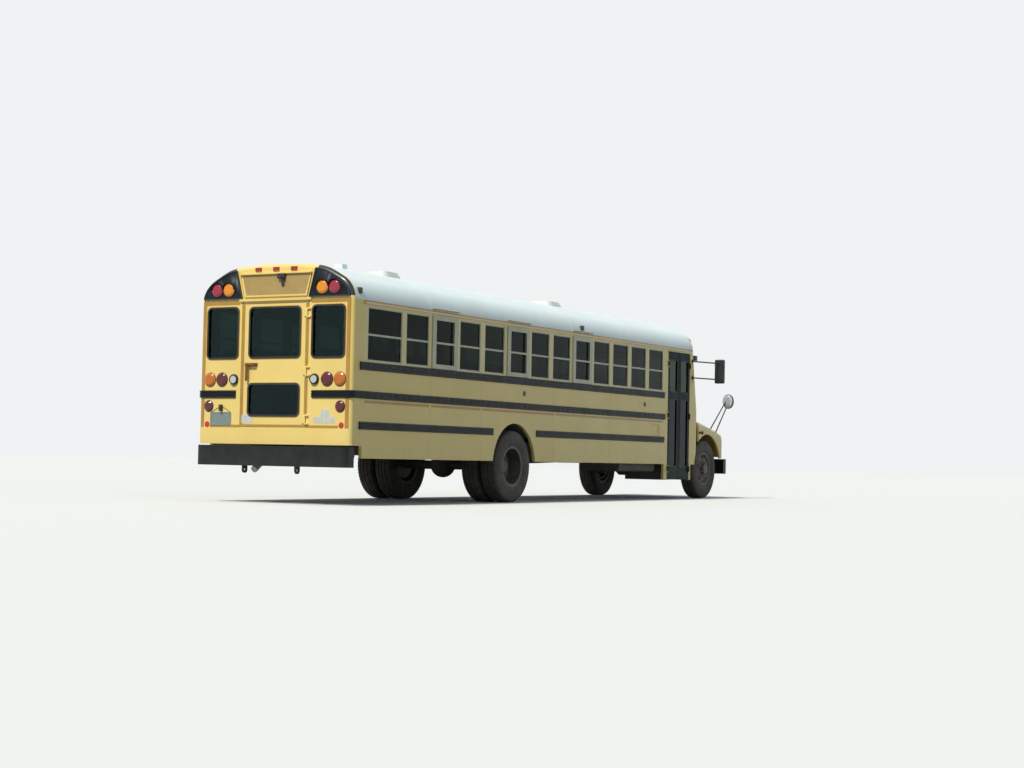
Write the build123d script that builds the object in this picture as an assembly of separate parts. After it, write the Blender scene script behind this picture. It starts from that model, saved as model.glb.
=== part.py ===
from build123d import *
import math
import os

os.makedirs("parts", exist_ok=True)

# School bus with a hood ahead of the cabin. Millimetres, +X forward, +Y to the left, +Z up.
# The origin is on the ground, at the middle of the whole vehicle's box.

# Whole vehicle
rear_overhang = 4184      # rear wall to rear axle
wheelbase = 7080
front_overhang = 940      # front axle to the front bumper's face
bumper_reach = 75         # rear bumper behind the rear wall
overall_length = bumper_reach + rear_overhang + wheelbase + front_overhang

rear_x = bumper_reach - overall_length / 2
rear_axle_x = rear_x + rear_overhang
front_axle_x = rear_axle_x + wheelbase
nose_x = front_axle_x + front_overhang

# Cabin shell
body_width = 2438
wall_t = 45
floor_z = 1000
floor_t = 40
skirt_z = 600             # lower edge of the side panels
belt_z = 1800             # joint between lower panels and window bands
band_top = 2571           # joint between window bands and roof
spring_z = 2595           # where the roof starts to curve
rear_corner_r = 60
rear_cap_length = 250
corner_behind_axle = 784  # front corners' start behind the front axle
entrance_bay = 1120       # front side panels, from their rear end to the front corners
cabin_length = rear_overhang + wheelbase - corner_behind_axle
front_panel_start = cabin_length - entrance_bay
front_corner_r = 190
front_base_reach = 380    # front wall ahead of the front corners' start, at the cowl
front_top_reach = 195     # the same at the top of the windshield
half_w = body_width / 2
inner_w = half_w - wall_t
front_panel_x = rear_x + front_panel_start
front_start_x = rear_x + cabin_length
cowl_face_x = front_start_x + front_base_reach
brow_face_x = front_start_x + front_top_reach
cap_x = rear_x + rear_cap_length

# Roof arcs from the side to the crown: radius, slope in degrees where the arc ends
ROOF_ARCS = [(360, 30), (3000, 26), (620, 6)]

# Side windows
window_count = 12
first_window_x = 1516     # centre of the second window, from the rear wall
last_window_gap = 364     # centre of the last window to the front side panels
window_pitch = (front_panel_start - last_window_gap - first_window_x) / (window_count - 1)
window_post = 124
window_width = window_pitch - window_post
rear_window = (340, 1134)  # the wider rearmost window's ends, from the rear wall
window_low = 1847
window_high = 2535
meeting_bar_z = 2182
meeting_bar_h = 26
sash_rim = 16
sash_depth = 26
sash_inset = 6
pane_t = 6
emergency_rim = 46
emergency_proud = 14
emergency_lap = 48        # flange of a push-out window beyond its hole
PUSH_OUT = [2, 5, 8]      # push-out windows, counted from the rear
driver_window = (cabin_length - 760, cabin_length - 50)

# Entrance door in the right side
door_rear = cabin_length - 987
door_front = cabin_length - 72
door_low = 330
door_high = 2544
leaf_t = 36
leaf_gap = 6
leaf_meeting_gap = 12
leaf_stile = 62
# Leaf glass: lower edge, upper edge
LEAF_PANES = [(560, 1720), (1850, 2400)]

# Rear wall
rear_wall_low = 760
rear_door_half = 517
rear_door_low = 980
rear_door_high = 2585
door_play = 6
rear_door_t = 42
rear_glass_r = 60
# Door panes: half width, low edge, high edge. Side panes: inner edge, outer edge, low edge, high edge
REAR_DOOR_PANES = [(410, 1877, 2533), (410, 1126, 1542)]
rear_side_glass = (590, 1100, 1872, 2540)

# Chassis
axle_z = 525
tyre_r = 525
tyre_width = 279
rim_r = 286
front_track = 2030
rear_track = 1820
twin_spacing = 320
rail_half = 432
rail_depth = 254
rail_flange = 76
rail_web = 10
rail_top = 895
arch_r = 626
front_arch_r = 622
kingpin_y = 865
spindle_r = 49.7
bearing_gap = 0.3

# Hood, tilting forward
hood_gap = 18
hood_half_rear = 860
hood_half_nose = 600
hood_top_rear = 1545
hood_top_nose = 1330
fender_half = 1195
fender_top_rear = 1400
fender_top_nose = 1180
hood_low = 720
hood_t = 34
hood_nose_x = nose_x - 130
hood_pivot_x = nose_x - 160
hood_pivot_z = 800

# Seats
seat_rows = 13
seat_first = 330          # back of the rearmost seat, from the rear wall
seat_front_gap = 750      # back of the foremost seat to the front side panels
seat_pitch = (front_panel_start - seat_front_gap - seat_first) / (seat_rows - 1)
seat_width = 950
seat_depth = 400
cushion_t = 120
cushion_top = 1430
seat_back_t = 70
seat_back_top = 2010
seat_wall_gap = 12


def block(x0, x1, y0, y1, z0, z1):
    """A box from its lowest and highest corners."""
    return Pos((x0 + x1) / 2, (y0 + y1) / 2, (z0 + z1) / 2) * Box(abs(x1 - x0), abs(y1 - y0), abs(z1 - z0))


def rod(start, end, radius):
    """A round bar between two points."""
    a, b = Vector(*start), Vector(*end)
    plane = Plane(origin=a, z_dir=(b - a).normalized())
    return extrude(plane * Circle(radius), (b - a).length)


def prism(points, axis, low, high):
    """A flat outline given by its two other coordinates, drawn out along X, Y or Z."""
    place = {"X": lambda a, b: (low, a, b), "Y": lambda a, b: (a, low, b), "Z": lambda a, b: (a, b, low)}[axis]
    direction = {"X": (1, 0, 0), "Y": (0, 1, 0), "Z": (0, 0, 1)}[axis]
    outline = Polyline(*[place(a, b) for a, b in points], close=True)
    return Solid.extrude(Face(Wire(outline.edges())), Vector(*direction) * (high - low))


def joined(pieces):
    """One shape from pieces that meet or overlap."""
    pieces = list(pieces)
    return pieces[0].fuse(*pieces[1:]) if len(pieces) > 1 else pieces[0]


def mirrored(shape):
    """The same shape on the other side of the bus."""
    return shape.mirror(Plane.XZ)


def save(node, pieces):
    """Write one node's solids to its STEP file."""
    solids = []
    for piece in pieces:
        solids += list(piece.solids())
    export_step(Compound(children=solids) if len(solids) > 1 else solids[0], f"parts/{node}.step")


def back(distance):
    """The X of a place measured forward from the rear wall."""
    return rear_x + distance


# Body section

def roof_arcs(inset):
    """Right-hand roof arcs as (centre y, centre z, radius, start slope, end slope), with the crown last."""
    arcs, y, z, slope = [], half_w, spring_z, 90
    for radius, end_slope in ROOF_ARCS:
        cy = y - radius * math.sin(math.radians(slope))
        cz = z - radius * math.cos(math.radians(slope))
        arcs.append((cy, cz, radius - inset, slope, end_slope))
        y = cy + radius * math.sin(math.radians(end_slope))
        z = cz + radius * math.cos(math.radians(end_slope))
        slope = end_slope
    crown_r = y / math.sin(math.radians(slope))
    arcs.append((0, z - crown_r * math.cos(math.radians(slope)), crown_r - inset, slope, -slope))
    return arcs


def arc_point(arc, slope):
    cy, cz, radius = arc[:3]
    return cy + radius * math.sin(math.radians(slope)), cz + radius * math.cos(math.radians(slope))


def section(x, inset, low):
    """The cabin's cross-section as a face at x, inset from the outside and cut level at its foot."""
    side = half_w - inset
    arcs = roof_arcs(inset)
    right = [arc for arc in arcs[:-1]]
    edges = [Line((x, side, low), (x, side, spring_z))]
    for arc in right + [arcs[-1]]:
        a, m, b = arc[3], (arc[3] + arc[4]) / 2, arc[4]
        edges.append(ThreePointArc(*[(x, *arc_point(arc, s)) for s in (a, m, b)]))
    for arc in reversed(right):
        a, m, b = arc[4], (arc[3] + arc[4]) / 2, arc[3]
        spots = [arc_point(arc, s) for s in (a, m, b)]
        edges.append(ThreePointArc(*[(x, -y, z) for y, z in spots]))
    edges.append(Line((x, -side, spring_z), (x, -side, low)))
    edges.append(Line((x, -side, low), (x, side, low)))
    return Face(Wire([edge.edge() for edge in edges]))


def roof_height(y, inset=0):
    """Outer height of the roof at a distance from the centre line."""
    y = abs(y)
    for cy, cz, radius, start, end in reversed(roof_arcs(inset)):
        if y <= cy + radius * math.sin(math.radians(start)) + 0.001:
            return cz + math.sqrt(radius ** 2 - (y - cy) ** 2)
    return spring_z


crown_z = roof_height(0)


def run(face, length):
    return Solid.extrude(face, Vector(length, 0, 0))


def edges_at_x(shape, x, above):
    """Edges that lie in the plane at x, apart from the foot."""
    return [e for e in shape.edges()
            if abs(e.bounding_box().min.X - x) < 0.01 and abs(e.bounding_box().max.X - x) < 0.01
            and e.bounding_box().max.Z > above + 1]


def make_rear_shell():
    """Rear wall with its rounded corners and the short cap ahead of it."""
    outer = run(section(rear_x, 0, rear_wall_low), rear_cap_length)
    outer = outer.fillet(rear_corner_r, edges_at_x(outer, rear_x, rear_wall_low))
    core_x = rear_x + wall_t
    core = run(section(core_x, wall_t, rear_wall_low - 10), rear_cap_length)
    core = core.fillet(rear_corner_r - wall_t, edges_at_x(core, core_x, rear_wall_low - 10))
    return outer, outer - core


def rounded_pane(x0, x1, y_mid, half, low, high, radius):
    """A pane or window hole through the rear wall, with round corners."""
    face = Plane(origin=(x0, y_mid, (low + high) / 2), x_dir=(0, 1, 0), z_dir=(1, 0, 0)) * RectangleRounded(
        2 * half, high - low, radius)
    return extrude(face, x1 - x0)


rear_outer, rear_shell = make_rear_shell()
rear_wall = rear_shell - block(rear_x - 10, rear_x + wall_t + 10, -rear_door_half, rear_door_half,
                               rear_door_low, rear_door_high)
side_low, side_high = rear_side_glass[2], rear_side_glass[3]
side_mid = (rear_side_glass[0] + rear_side_glass[1]) / 2
side_half = (rear_side_glass[1] - rear_side_glass[0]) / 2
for hand in (-1, 1):
    rear_wall -= rounded_pane(rear_x - 10, rear_x + wall_t + 10, hand * side_mid, side_half,
                              side_low, side_high, rear_glass_r)
# Ledge over the rear windows
ledge_z = 2615
ledge_h = 30
ledge_reach = 24
ledge_half = 575
rear_wall += block(rear_x - ledge_reach, rear_x + 1, -ledge_half, ledge_half, ledge_z, ledge_z + ledge_h)

rear_hinge_x = rear_x - 14
rear_hinge_y = -rear_door_half + 2
hinge_r = 9
hinge_barrel = 90
lug_h = 14
REAR_HINGE_Z = [1080, 1700, 2450]


def upright_hinge(axis_x, axis_y, z, moving, fixed):
    """A barrel on an upright axis and the two lugs that hold it: moving and fixed are lists of box footprints."""
    barrel = Pos(axis_x, axis_y, z) * Cylinder(hinge_r, hinge_barrel)
    webs = [block(*web, z - hinge_barrel / 2, z + hinge_barrel / 2) for web in moving]
    reach = hinge_barrel / 2 + bearing_gap
    lugs = [block(*lug, z0, z0 + lug_h) for z0 in (z + reach, z - reach - lug_h) for lug in fixed]
    return [barrel] + webs, lugs


rear_door = block(rear_x, rear_x + rear_door_t, -rear_door_half + door_play, rear_door_half - door_play,
                  rear_door_low + door_play, rear_door_high - door_play)
rear_door_panes = []
for half, low, high in REAR_DOOR_PANES:
    rear_door -= rounded_pane(rear_x - 5, rear_x + rear_door_t + 5, 0, half, low, high, rear_glass_r)
    rear_door_panes.append(rounded_pane(rear_x + 14, rear_x + 14 + pane_t, 0, half - 0.3, low + 0.3, high - 0.3,
                                        rear_glass_r))
for z in REAR_HINGE_Z:
    moving, fixed = upright_hinge(
        rear_hinge_x, rear_hinge_y, z,
        [(rear_hinge_x - 3, rear_hinge_x + 3, rear_hinge_y, -rear_door_half + 50),
         (rear_hinge_x, rear_x + 1, -rear_door_half + 20, -rear_door_half + 50)],
        [(rear_hinge_x - hinge_r, rear_hinge_x + hinge_r, -rear_door_half - 50, rear_hinge_y + hinge_r),
         (rear_hinge_x, rear_x + 1, -rear_door_half - 50, -rear_door_half - 2)])
    rear_door = joined([rear_door] + moving)
    rear_wall = joined([rear_wall] + fixed)

# Rear door handle: mounting plate, bar and pull lever
handle_z = 1790
handle_y = (267, 470)
rear_door = joined([
    rear_door,
    block(rear_x - 8, rear_x + 1, handle_y[0], handle_y[1], handle_z - 22, handle_z + 22),
    rod((rear_x - 40, handle_y[0] + 20, handle_z), (rear_x - 40, handle_y[1] - 40, handle_z), 10),
    rod((rear_x - 45, handle_y[0] + 24, handle_z), (rear_x + 1, handle_y[0] + 24, handle_z), 9),
    rod((rear_x - 45, handle_y[1] - 50, handle_z), (rear_x + 1, handle_y[1] - 50, handle_z), 14),
    block(rear_x - 44, rear_x - 34, handle_y[1] - 65, handle_y[1] - 35, handle_z - 210, handle_z),
])
save("rear_door", [rear_door])
save("rear_door_glass", rear_door_panes)
save("rear_wall", [rear_wall])

# Roof with its two hatch curbs and the small beacon box
hatch_hole = 410
curb_w = 24
curb_top = crown_z + 16
HATCH_X = [2396, cabin_length - 3255]
front_cap_overlap = 260    # front cap behind the front corners
roof_length = cabin_length - rear_cap_length - front_cap_overlap
roof = run(section(cap_x, 0, band_top), roof_length) - run(section(cap_x - 1, wall_t, band_top - 1), roof_length + 2)
hatch_half = hatch_hole / 2
for place in HATCH_X:
    x = back(place)
    outer_half = hatch_half + curb_w
    roof += block(x - outer_half, x + outer_half, -outer_half, outer_half, crown_z - wall_t + 10, curb_top)
    roof -= block(x - hatch_half, x + hatch_half, -hatch_half, hatch_half, crown_z - 200, curb_top + 1)
beacon_x = back(1437)
beacon_half = 60
beacon_h = 138
roof += block(beacon_x - beacon_half, beacon_x + beacon_half, -beacon_half, beacon_half,
              crown_z - 10, crown_z + beacon_h)
# Drip rails along both sides
drip_reach = 22
drip_h = 24
for hand in (-1, 1):
    y_in, y_out = hand * (half_w - 1), hand * (half_w + drip_reach)
    roof += block(cap_x, cap_x + roof_length, min(y_in, y_out), max(y_in, y_out), band_top, band_top + drip_h)

# Hatch lids, hinged at their front edge
lid_half = hatch_half + curb_w + 10
lid_corner_r = 110
lid_top_half = 198
lid_top_corner_r = 85
lid_rise = 72
lid_flange = 38
lid_shoulder = 6
hatch_barrel_half = 70
hatch_lug_half = 10
hatch_hinge_z = curb_top + 10
lids = []
for place in HATCH_X:
    x = back(place)
    base_z = curb_top + bearing_gap
    flange = extrude(Plane(origin=(x, 0, base_z)) * RectangleRounded(2 * lid_half, 2 * lid_half, lid_corner_r),
                     lid_flange)
    low_half = lid_half - lid_shoulder
    low_face = Plane(origin=(x, 0, base_z + lid_flange - 1)) * RectangleRounded(
        2 * low_half, 2 * low_half, lid_corner_r - lid_shoulder)
    high_face = Plane(origin=(x, 0, base_z + lid_flange + lid_rise)) * RectangleRounded(
        2 * lid_top_half, 2 * lid_top_half, lid_top_corner_r)
    dome = loft([low_face.face(), high_face.face()])
    dome = dome.fillet(24, dome.edges().group_by(Axis.Z)[-1])
    axis_x = x + lid_half + 16
    barrel = rod((axis_x, -hatch_barrel_half, hatch_hinge_z), (axis_x, hatch_barrel_half, hatch_hinge_z), hinge_r)
    web = block(x + lid_half - 5, axis_x, -hatch_barrel_half, hatch_barrel_half,
                hatch_hinge_z - 6, hatch_hinge_z + 6)
    lids.append(joined([flange, dome, barrel, web]))
    for hand in (-1, 1):
        y0, y1 = sorted(hand * (hatch_barrel_half + bearing_gap + reach) for reach in (0, lug_h))
        roof += block(axis_x - hatch_lug_half, axis_x + hatch_lug_half, y0, y1,
                      crown_z - 10, hatch_hinge_z + hinge_r)
save("hatch_lid_rear", [lids[0]])
save("hatch_lid_front", [lids[1]])

# Small visors over the push-out windows
windows = [(back(rear_window[0]), back(rear_window[1]))]
windows += [(back(first_window_x + window_pitch * i) - window_width / 2,
             back(first_window_x + window_pitch * i) + window_width / 2) for i in range(window_count)]
visor_z = 2632
visor_half = 344
visor_t = 10
for index in PUSH_OUT:
    mid = sum(windows[index]) / 2
    for hand in (-1, 1):
        ya, yb = hand * (half_w - 8), hand * (half_w + 26)
        roof += block(mid - visor_half, mid + visor_half, min(ya, yb), max(ya, yb), visor_z, visor_z + visor_t)
save("roof", [roof])

# Side walls: lower panels, window bands and front side panels
def side_block(x0, x1, hand, z0, z1, depth=wall_t, inset=0):
    """A box lying in a side wall, on the left for hand 1 and on the right for hand -1."""
    ya, yb = hand * (half_w - inset), hand * (half_w - inset - depth)
    return block(x0, x1, min(ya, yb), max(ya, yb), z0, z1)


def cross_rod(x, z, radius, y0, y1):
    """A round bar across the bus."""
    return rod((x, y0, z), (x, y1, z), radius)


lower_panels, window_bands, frames, panes = [], [], [], []
for hand in (1, -1):
    lower = side_block(cap_x, front_panel_x, hand, skirt_z, belt_z)
    lower -= cross_rod(rear_axle_x, axle_z, arch_r, hand * (inner_w - 5), hand * (half_w + 5))
    band = side_block(cap_x, front_panel_x, hand, belt_z, band_top)
    for index, (x0, x1) in enumerate(windows):
        band -= side_block(x0, x1, hand, window_low, window_high, wall_t + 20, -10)
        rim = emergency_rim if index in PUSH_OUT else sash_rim
        if index in PUSH_OUT:
            frame = side_block(x0, x1, hand, window_low, window_high, sash_depth + sash_inset)
            frame += side_block(x0 - emergency_lap, x1 + emergency_lap, hand, window_low - 14, window_high + 12,
                                emergency_proud, -emergency_proud)
        else:
            frame = side_block(x0, x1, hand, window_low, window_high, sash_depth, sash_inset)
        halves = [(window_low + rim, meeting_bar_z - meeting_bar_h / 2),
                  (meeting_bar_z + meeting_bar_h / 2, window_high - rim)]
        for z0, z1 in halves:
            frame -= side_block(x0 + rim, x1 - rim, hand, z0, z1, sash_depth + 60, -40)
            panes.append(side_block(x0 + rim, x1 - rim, hand, z0, z1, pane_t, 18))
        frames.append(frame)
    lower_panels.append(lower)
    window_bands.append(band)

# Driver's window in the left front panel, the entrance frame on the right
left_front = side_block(front_panel_x, front_start_x, 1, skirt_z, band_top)
x0, x1 = back(driver_window[0]), back(driver_window[1])
left_front -= side_block(x0, x1, 1, window_low, window_high, wall_t + 20, -10)
driver_frame = side_block(x0, x1, 1, window_low, window_high, sash_depth, sash_inset)
split_x = (x0 + x1) / 2
for a, b in ((x0 + sash_rim, split_x - sash_rim / 2), (split_x + sash_rim / 2, x1 - sash_rim)):
    driver_frame -= side_block(a, b, 1, window_low + sash_rim, window_high - sash_rim, sash_depth + 60, -40)
    panes.append(side_block(a, b, 1, window_low + sash_rim, window_high - sash_rim, pane_t, 18))
frames.append(driver_frame)
right_front = side_block(front_panel_x, front_start_x, -1, door_low, band_top)
right_front -= side_block(back(door_rear), back(door_front), -1, door_low - 1, door_high, wall_t + 20, -10)
for hand in (-1, 1):
    panes.append(rounded_pane(rear_x + 18, rear_x + 18 + pane_t, hand * side_mid, side_half - 0.3,
                              side_low + 0.3, side_high - 0.3, rear_glass_r))

# Fuel filler pocket and its flap
FUEL_DOOR = (front_panel_start - 510, front_panel_start - 210, 1080, 1270)
pocket_depth = 34
flap_t = 9
flap_play = 5
fx0, fx1, fz0, fz1 = back(FUEL_DOOR[0]), back(FUEL_DOOR[1]), FUEL_DOOR[2], FUEL_DOOR[3]
lower_panels[1] -= side_block(fx0, fx1, -1, fz0, fz1, pocket_depth + 10, -10)
lower_panels[1] += cross_rod((fx0 + fx1) / 2, (fz0 + fz1) / 2, 42, -half_w + 16, -half_w + pocket_depth + 2)
flap = side_block(fx0 + flap_play, fx1 - flap_play, -1, fz0 + flap_play, fz1 - flap_play, flap_t, 1)
hinge_out = 10
flap_hinge = (fx1 + 3, -half_w - hinge_out)
moving, fixed = upright_hinge(
    *flap_hinge, (fz0 + fz1) / 2,
    [(fx1 - 40, flap_hinge[0], -half_w - hinge_out - 3, -half_w - hinge_out + 3),
     (fx1 - 40, fx1 - 12, -half_w - hinge_out, -half_w + 4)],
    [(flap_hinge[0] - hinge_r, flap_hinge[0] + 40, -half_w - hinge_out - hinge_r, -half_w - 1),
     (flap_hinge[0] + 12, flap_hinge[0] + 40, -half_w - 2, -half_w + 2)])
flap = joined([flap] + moving)
lower_panels[1] = joined([lower_panels[1]] + fixed)
save("fuel_door", [flap])
save("lower_side_panels", lower_panels)
save("window_bands", window_bands)
save("window_frames", frames)

# Entrance door leaves, hinged at their outer edges
LEAF_HINGE_Z = [520, 1440, 2330]
leaf_mid = (back(door_rear) + back(door_front)) / 2
leaf_inset = 5
leaves, leaf_glass = [], []
for end, hinge_x, edge_x, inner_x in (
        ("rear", back(door_rear) + 3, back(door_rear) + leaf_gap, leaf_mid - leaf_meeting_gap / 2),
        ("front", back(door_front) - 3, back(door_front) - leaf_gap, leaf_mid + leaf_meeting_gap / 2)):
    toward = 1 if inner_x > edge_x else -1
    x0, x1 = min(edge_x, inner_x), max(edge_x, inner_x)
    leaf = side_block(x0, x1, -1, door_low + leaf_gap, door_high - leaf_gap, leaf_t, leaf_inset)
    glass = []
    for low, high in LEAF_PANES:
        leaf -= side_block(x0 + leaf_stile, x1 - leaf_stile, -1, low, high, wall_t + 20, -10)
        glass.append(side_block(x0 + leaf_stile, x1 - leaf_stile, -1, low, high, pane_t, leaf_inset + 14))
    for z in LEAF_HINGE_Z:
        axis_y = -half_w - hinge_out
        web = sorted((hinge_x, hinge_x + toward * 45))
        foot = sorted((hinge_x + toward * 16, hinge_x + toward * 45))
        lug = sorted((hinge_x + toward * hinge_r, hinge_x - toward * 45))
        base = sorted((hinge_x - toward * 12, hinge_x - toward * 45))
        moving, fixed = upright_hinge(
            hinge_x, axis_y, z,
            [(*web, axis_y - 3, axis_y + 3), (*foot, axis_y, -half_w + leaf_inset + 2)],
            [(*lug, axis_y - hinge_r, -half_w - 1), (*base, -half_w - 2, -half_w + 2)])
        leaf = joined([leaf] + moving)
        right_front = joined([right_front] + fixed)
    save(f"entrance_leaf_{end}", [leaf])
    save(f"entrance_glass_{end}", glass)
save("front_side_panels", [left_front, right_front])

# Cabin front: cowl, corner posts and windshield surround
toe_z = 1060
cowl_z = hood_top_rear


def front_plan(z, reach, inset):
    """Plan of the cabin front at one height, from the front corners' start to the front wall."""
    side, front, r = half_w - inset, front_start_x + reach - inset, front_corner_r - inset
    bend = r * (1 - math.sqrt(0.5))
    right = [(front_start_x, -side), (front - r, -side), (front - bend, -side + bend), (front, -side + r)]
    left = [(x, -y) for x, y in right[::-1]]
    edges = [
        Line((*right[0], z), (*right[1], z)),
        ThreePointArc((*right[1], z), (*right[2], z), (*right[3], z)),
        Line((*right[3], z), (*left[0], z)),
        ThreePointArc((*left[0], z), (*left[1], z), (*left[2], z)),
        Line((*left[2], z), (*left[3], z)),
        Line((*left[3], z), (*right[0], z)),
    ]
    return Face(Wire([edge.edge() for edge in edges]))


def front_body(inset, low):
    upright = Solid.extrude(front_plan(low, front_base_reach, inset), Vector(0, 0, cowl_z - low))
    raked = loft([front_plan(cowl_z, front_base_reach, inset), front_plan(band_top, front_top_reach, inset)], ruled=True)
    return upright, raked


outer_upright, outer_raked = front_body(0, skirt_z)
inner_upright, inner_raked = front_body(wall_t, skirt_z - 10)
front_frame = (outer_upright - inner_upright).fuse(outer_raked - inner_raked)
front_frame -= block(front_start_x - 1, cowl_face_x + 10, -inner_w, inner_w, skirt_z - 20, toe_z)
front_frame -= cross_rod(front_axle_x, axle_z, front_arch_r, -half_w - 5, half_w + 5)
shelf = outer_upright & block(front_start_x, cowl_face_x, -half_w, half_w, toe_z, toe_z + 30)
toe_board = block(front_start_x, front_start_x + 30, -inner_w, inner_w, floor_z - floor_t, toe_z + 5)
front_frame = joined([front_frame, shelf, toe_board])
WINDSHIELD = [(-1010, -28), (28, 1010)]
shield_low = 1600
shield_high = 2500
shield_panes = []
glass_skin = front_body(14, skirt_z)[1] - front_body(14 + pane_t, skirt_z)[1]
for y0, y1 in WINDSHIELD:
    cutter = block(front_start_x + 40, cowl_face_x + 30, y0, y1, shield_low, shield_high)
    front_frame -= cutter
    shield_panes.append(glass_skin & cutter)
save("front_frame", [front_frame])
save("cabin_glass", panes + shield_panes)

# Front roof cap
front_cap_x = cap_x + roof_length
cap_outer = run(section(front_cap_x, 0, band_top), brow_face_x - front_cap_x)
cap_outer = cap_outer.fillet(front_corner_r, edges_at_x(cap_outer, brow_face_x, band_top))
cap_core = run(section(front_cap_x - 1, wall_t, band_top - 10), brow_face_x - wall_t - front_cap_x + 1)
cap_core = cap_core.fillet(front_corner_r - wall_t, edges_at_x(cap_core, brow_face_x - wall_t, band_top - 10))
save("front_cap", [cap_outer - cap_core])

# Floor with its cross sills, wheel housings and entrance steps
sill_w = 50
housing_r = arch_r + 20
housing_t = 12
housing_y = 573
tread_t = 25
step_y = -462             # inner end of the step well
sill_count = 15
first_sill = 300
last_sill_gap = 618       # last sill to the front corners
sill_pitch = (cabin_length - last_sill_gap - first_sill) / (sill_count - 1)
FLOOR_SILLS = [first_sill + sill_pitch * i for i in range(sill_count)]
well_x0, well_x1 = back(door_rear), back(door_front)
floor = block(rear_x + wall_t, front_start_x, -inner_w, inner_w, floor_z - floor_t, floor_z)
floor = floor.fillet(rear_corner_r - wall_t + 1, floor.edges().filter_by(Axis.Z).group_by(Axis.X)[0])
for place in FLOOR_SILLS:
    x = back(place)
    floor += block(x - sill_w / 2, x + sill_w / 2, -inner_w, inner_w, rail_top, floor_z - floor_t + 1)
floor -= block(well_x0 - 20, well_x1 + 20, -inner_w - 1, step_y, rail_top - 10, floor_z + 10)
floor -= block(well_x0 - 20, well_x1 + 20, -inner_w - 1, step_y + tread_t, rail_top - 10, floor_z - floor_t)
for hand in (-1, 1):
    floor -= cross_rod(rear_axle_x, axle_z, housing_r, hand * housing_y, hand * (inner_w + 1))
save("floor", [floor])

housings = []
for hand in (-1, 1):
    y0, y1 = sorted((hand * housing_y, hand * inner_w))
    inner_plate = sorted((hand * housing_y, hand * (housing_y + housing_t)))
    shell = cross_rod(rear_axle_x, axle_z, housing_r, y0, y1)
    shell -= cross_rod(rear_axle_x, axle_z, housing_r - housing_t, y0 - 1, y1 + 1)
    shell += cross_rod(rear_axle_x, axle_z, housing_r, *inner_plate)
    housings.append(shell & block(rear_axle_x - 900, rear_axle_x + 900, y0, y1, floor_z - floor_t, floor_z + 400))
save("wheel_housings", housings)

STEP_HEIGHTS = [360, 573, 786]
tread_depth = (inner_w + step_y) / len(STEP_HEIGHTS)
top_line, under_line = [], []
for index, height in enumerate(STEP_HEIGHTS):
    y = -inner_w + tread_depth * index
    top_line += [(y, height), (y + tread_depth, height)]
    under_line += [(y + (tread_t if index else 0), height - tread_t), (y + tread_depth + tread_t, height - tread_t)]
top_line.append((step_y, floor_z - floor_t))
under_line.append((step_y + tread_t, floor_z - floor_t))
stairs = prism(top_line + under_line[::-1], "X", well_x0, well_x1)
cheeks = [block(a, b, -inner_w, step_y + tread_t, door_low, floor_z - floor_t)
          for a, b in ((well_x0 - 20, well_x0), (well_x1, well_x1 + 20))]
step_well = joined([stairs] + cheeks)
save("step_well", [step_well])

# Rub rails, ribbed, the middle one carried round the rear corners
# Low edge, high edge, first end and last end from the rear wall, carried round the rear
RUB_RAILS = [
    (1722, 1830, 175, front_panel_start - 20, False),
    (1358, 1458, rear_corner_r, front_panel_start + 10, True),
    (965, 1068, 175, rear_overhang - 644, False),
    (965, 1068, rear_overhang + 646, front_panel_start - 20, False),
]
rail_reach = 22
valley_reach = 14
rail_wrap_end = 610
RIBS = [(0.06, 0.28), (0.39, 0.61), (0.72, 0.94)]


def rail_outline(low, high):
    """Outline of a ribbed rail as (reach, height) pairs."""
    points = [(0, low)]
    for start, end in RIBS:
        a, b = low + start * (high - low), low + end * (high - low)
        points += [(valley_reach, a), (rail_reach, a + 5), (rail_reach, b - 5), (valley_reach, b)]
    return points + [(0, high)]


def make_rail(low, high, first, last, wraps):
    outline = rail_outline(low, high)
    rail = prism([(half_w + reach, z) for reach, z in outline], "X", back(first), back(last))
    if wraps:
        corner = half_w - rear_corner_r
        profile = prism([(half_w + reach, z) for reach, z in outline], "X", back(first), back(first) + 1)
        face = profile.faces().sort_by(Axis.X)[0]
        bend = revolve(face, Axis((back(first), corner, 0), (0, 0, 1)), 90)
        rear = prism([(rear_x - reach, z) for reach, z in outline], "Y", rail_wrap_end, corner)
        rail = joined([rail, bend, rear])
    return rail


rails = [make_rail(*row) for row in RUB_RAILS]
save("rub_rails", rails + [mirrored(rail) for rail in rails])

# Chassis frame
rail_front = nose_x - 244
rail_rear = back(120)
c_rail = prism([(rail_half, rail_top - rail_depth), (rail_half, rail_top), (rail_half - rail_flange, rail_top),
                (rail_half - rail_flange, rail_top - rail_web), (rail_half - rail_web, rail_top - rail_web),
                (rail_half - rail_web, rail_top - rail_depth + rail_web),
                (rail_half - rail_flange, rail_top - rail_depth + rail_web),
                (rail_half - rail_flange, rail_top - rail_depth)], "X", rail_rear, rail_front)
barrel_y = 410
barrel_half = 16
lug_t = 10
lug_round = 18
for y0, z0 in ((barrel_y + barrel_half + bearing_gap, hood_pivot_z - lug_round),
               (barrel_y - barrel_half - bearing_gap - lug_t, rail_top - rail_depth + 2)):
    c_rail += block(rail_front - 60, rail_front + 20, y0, y0 + lug_t, z0, hood_pivot_z + lug_round)
    c_rail += block(rail_front, hood_pivot_x, y0, y0 + lug_t, hood_pivot_z - lug_round, hood_pivot_z + lug_round)
    c_rail += cross_rod(hood_pivot_x, hood_pivot_z, lug_round, y0, y0 + lug_t)
save("frame_rails", [c_rail, mirrored(c_rail)])

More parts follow.
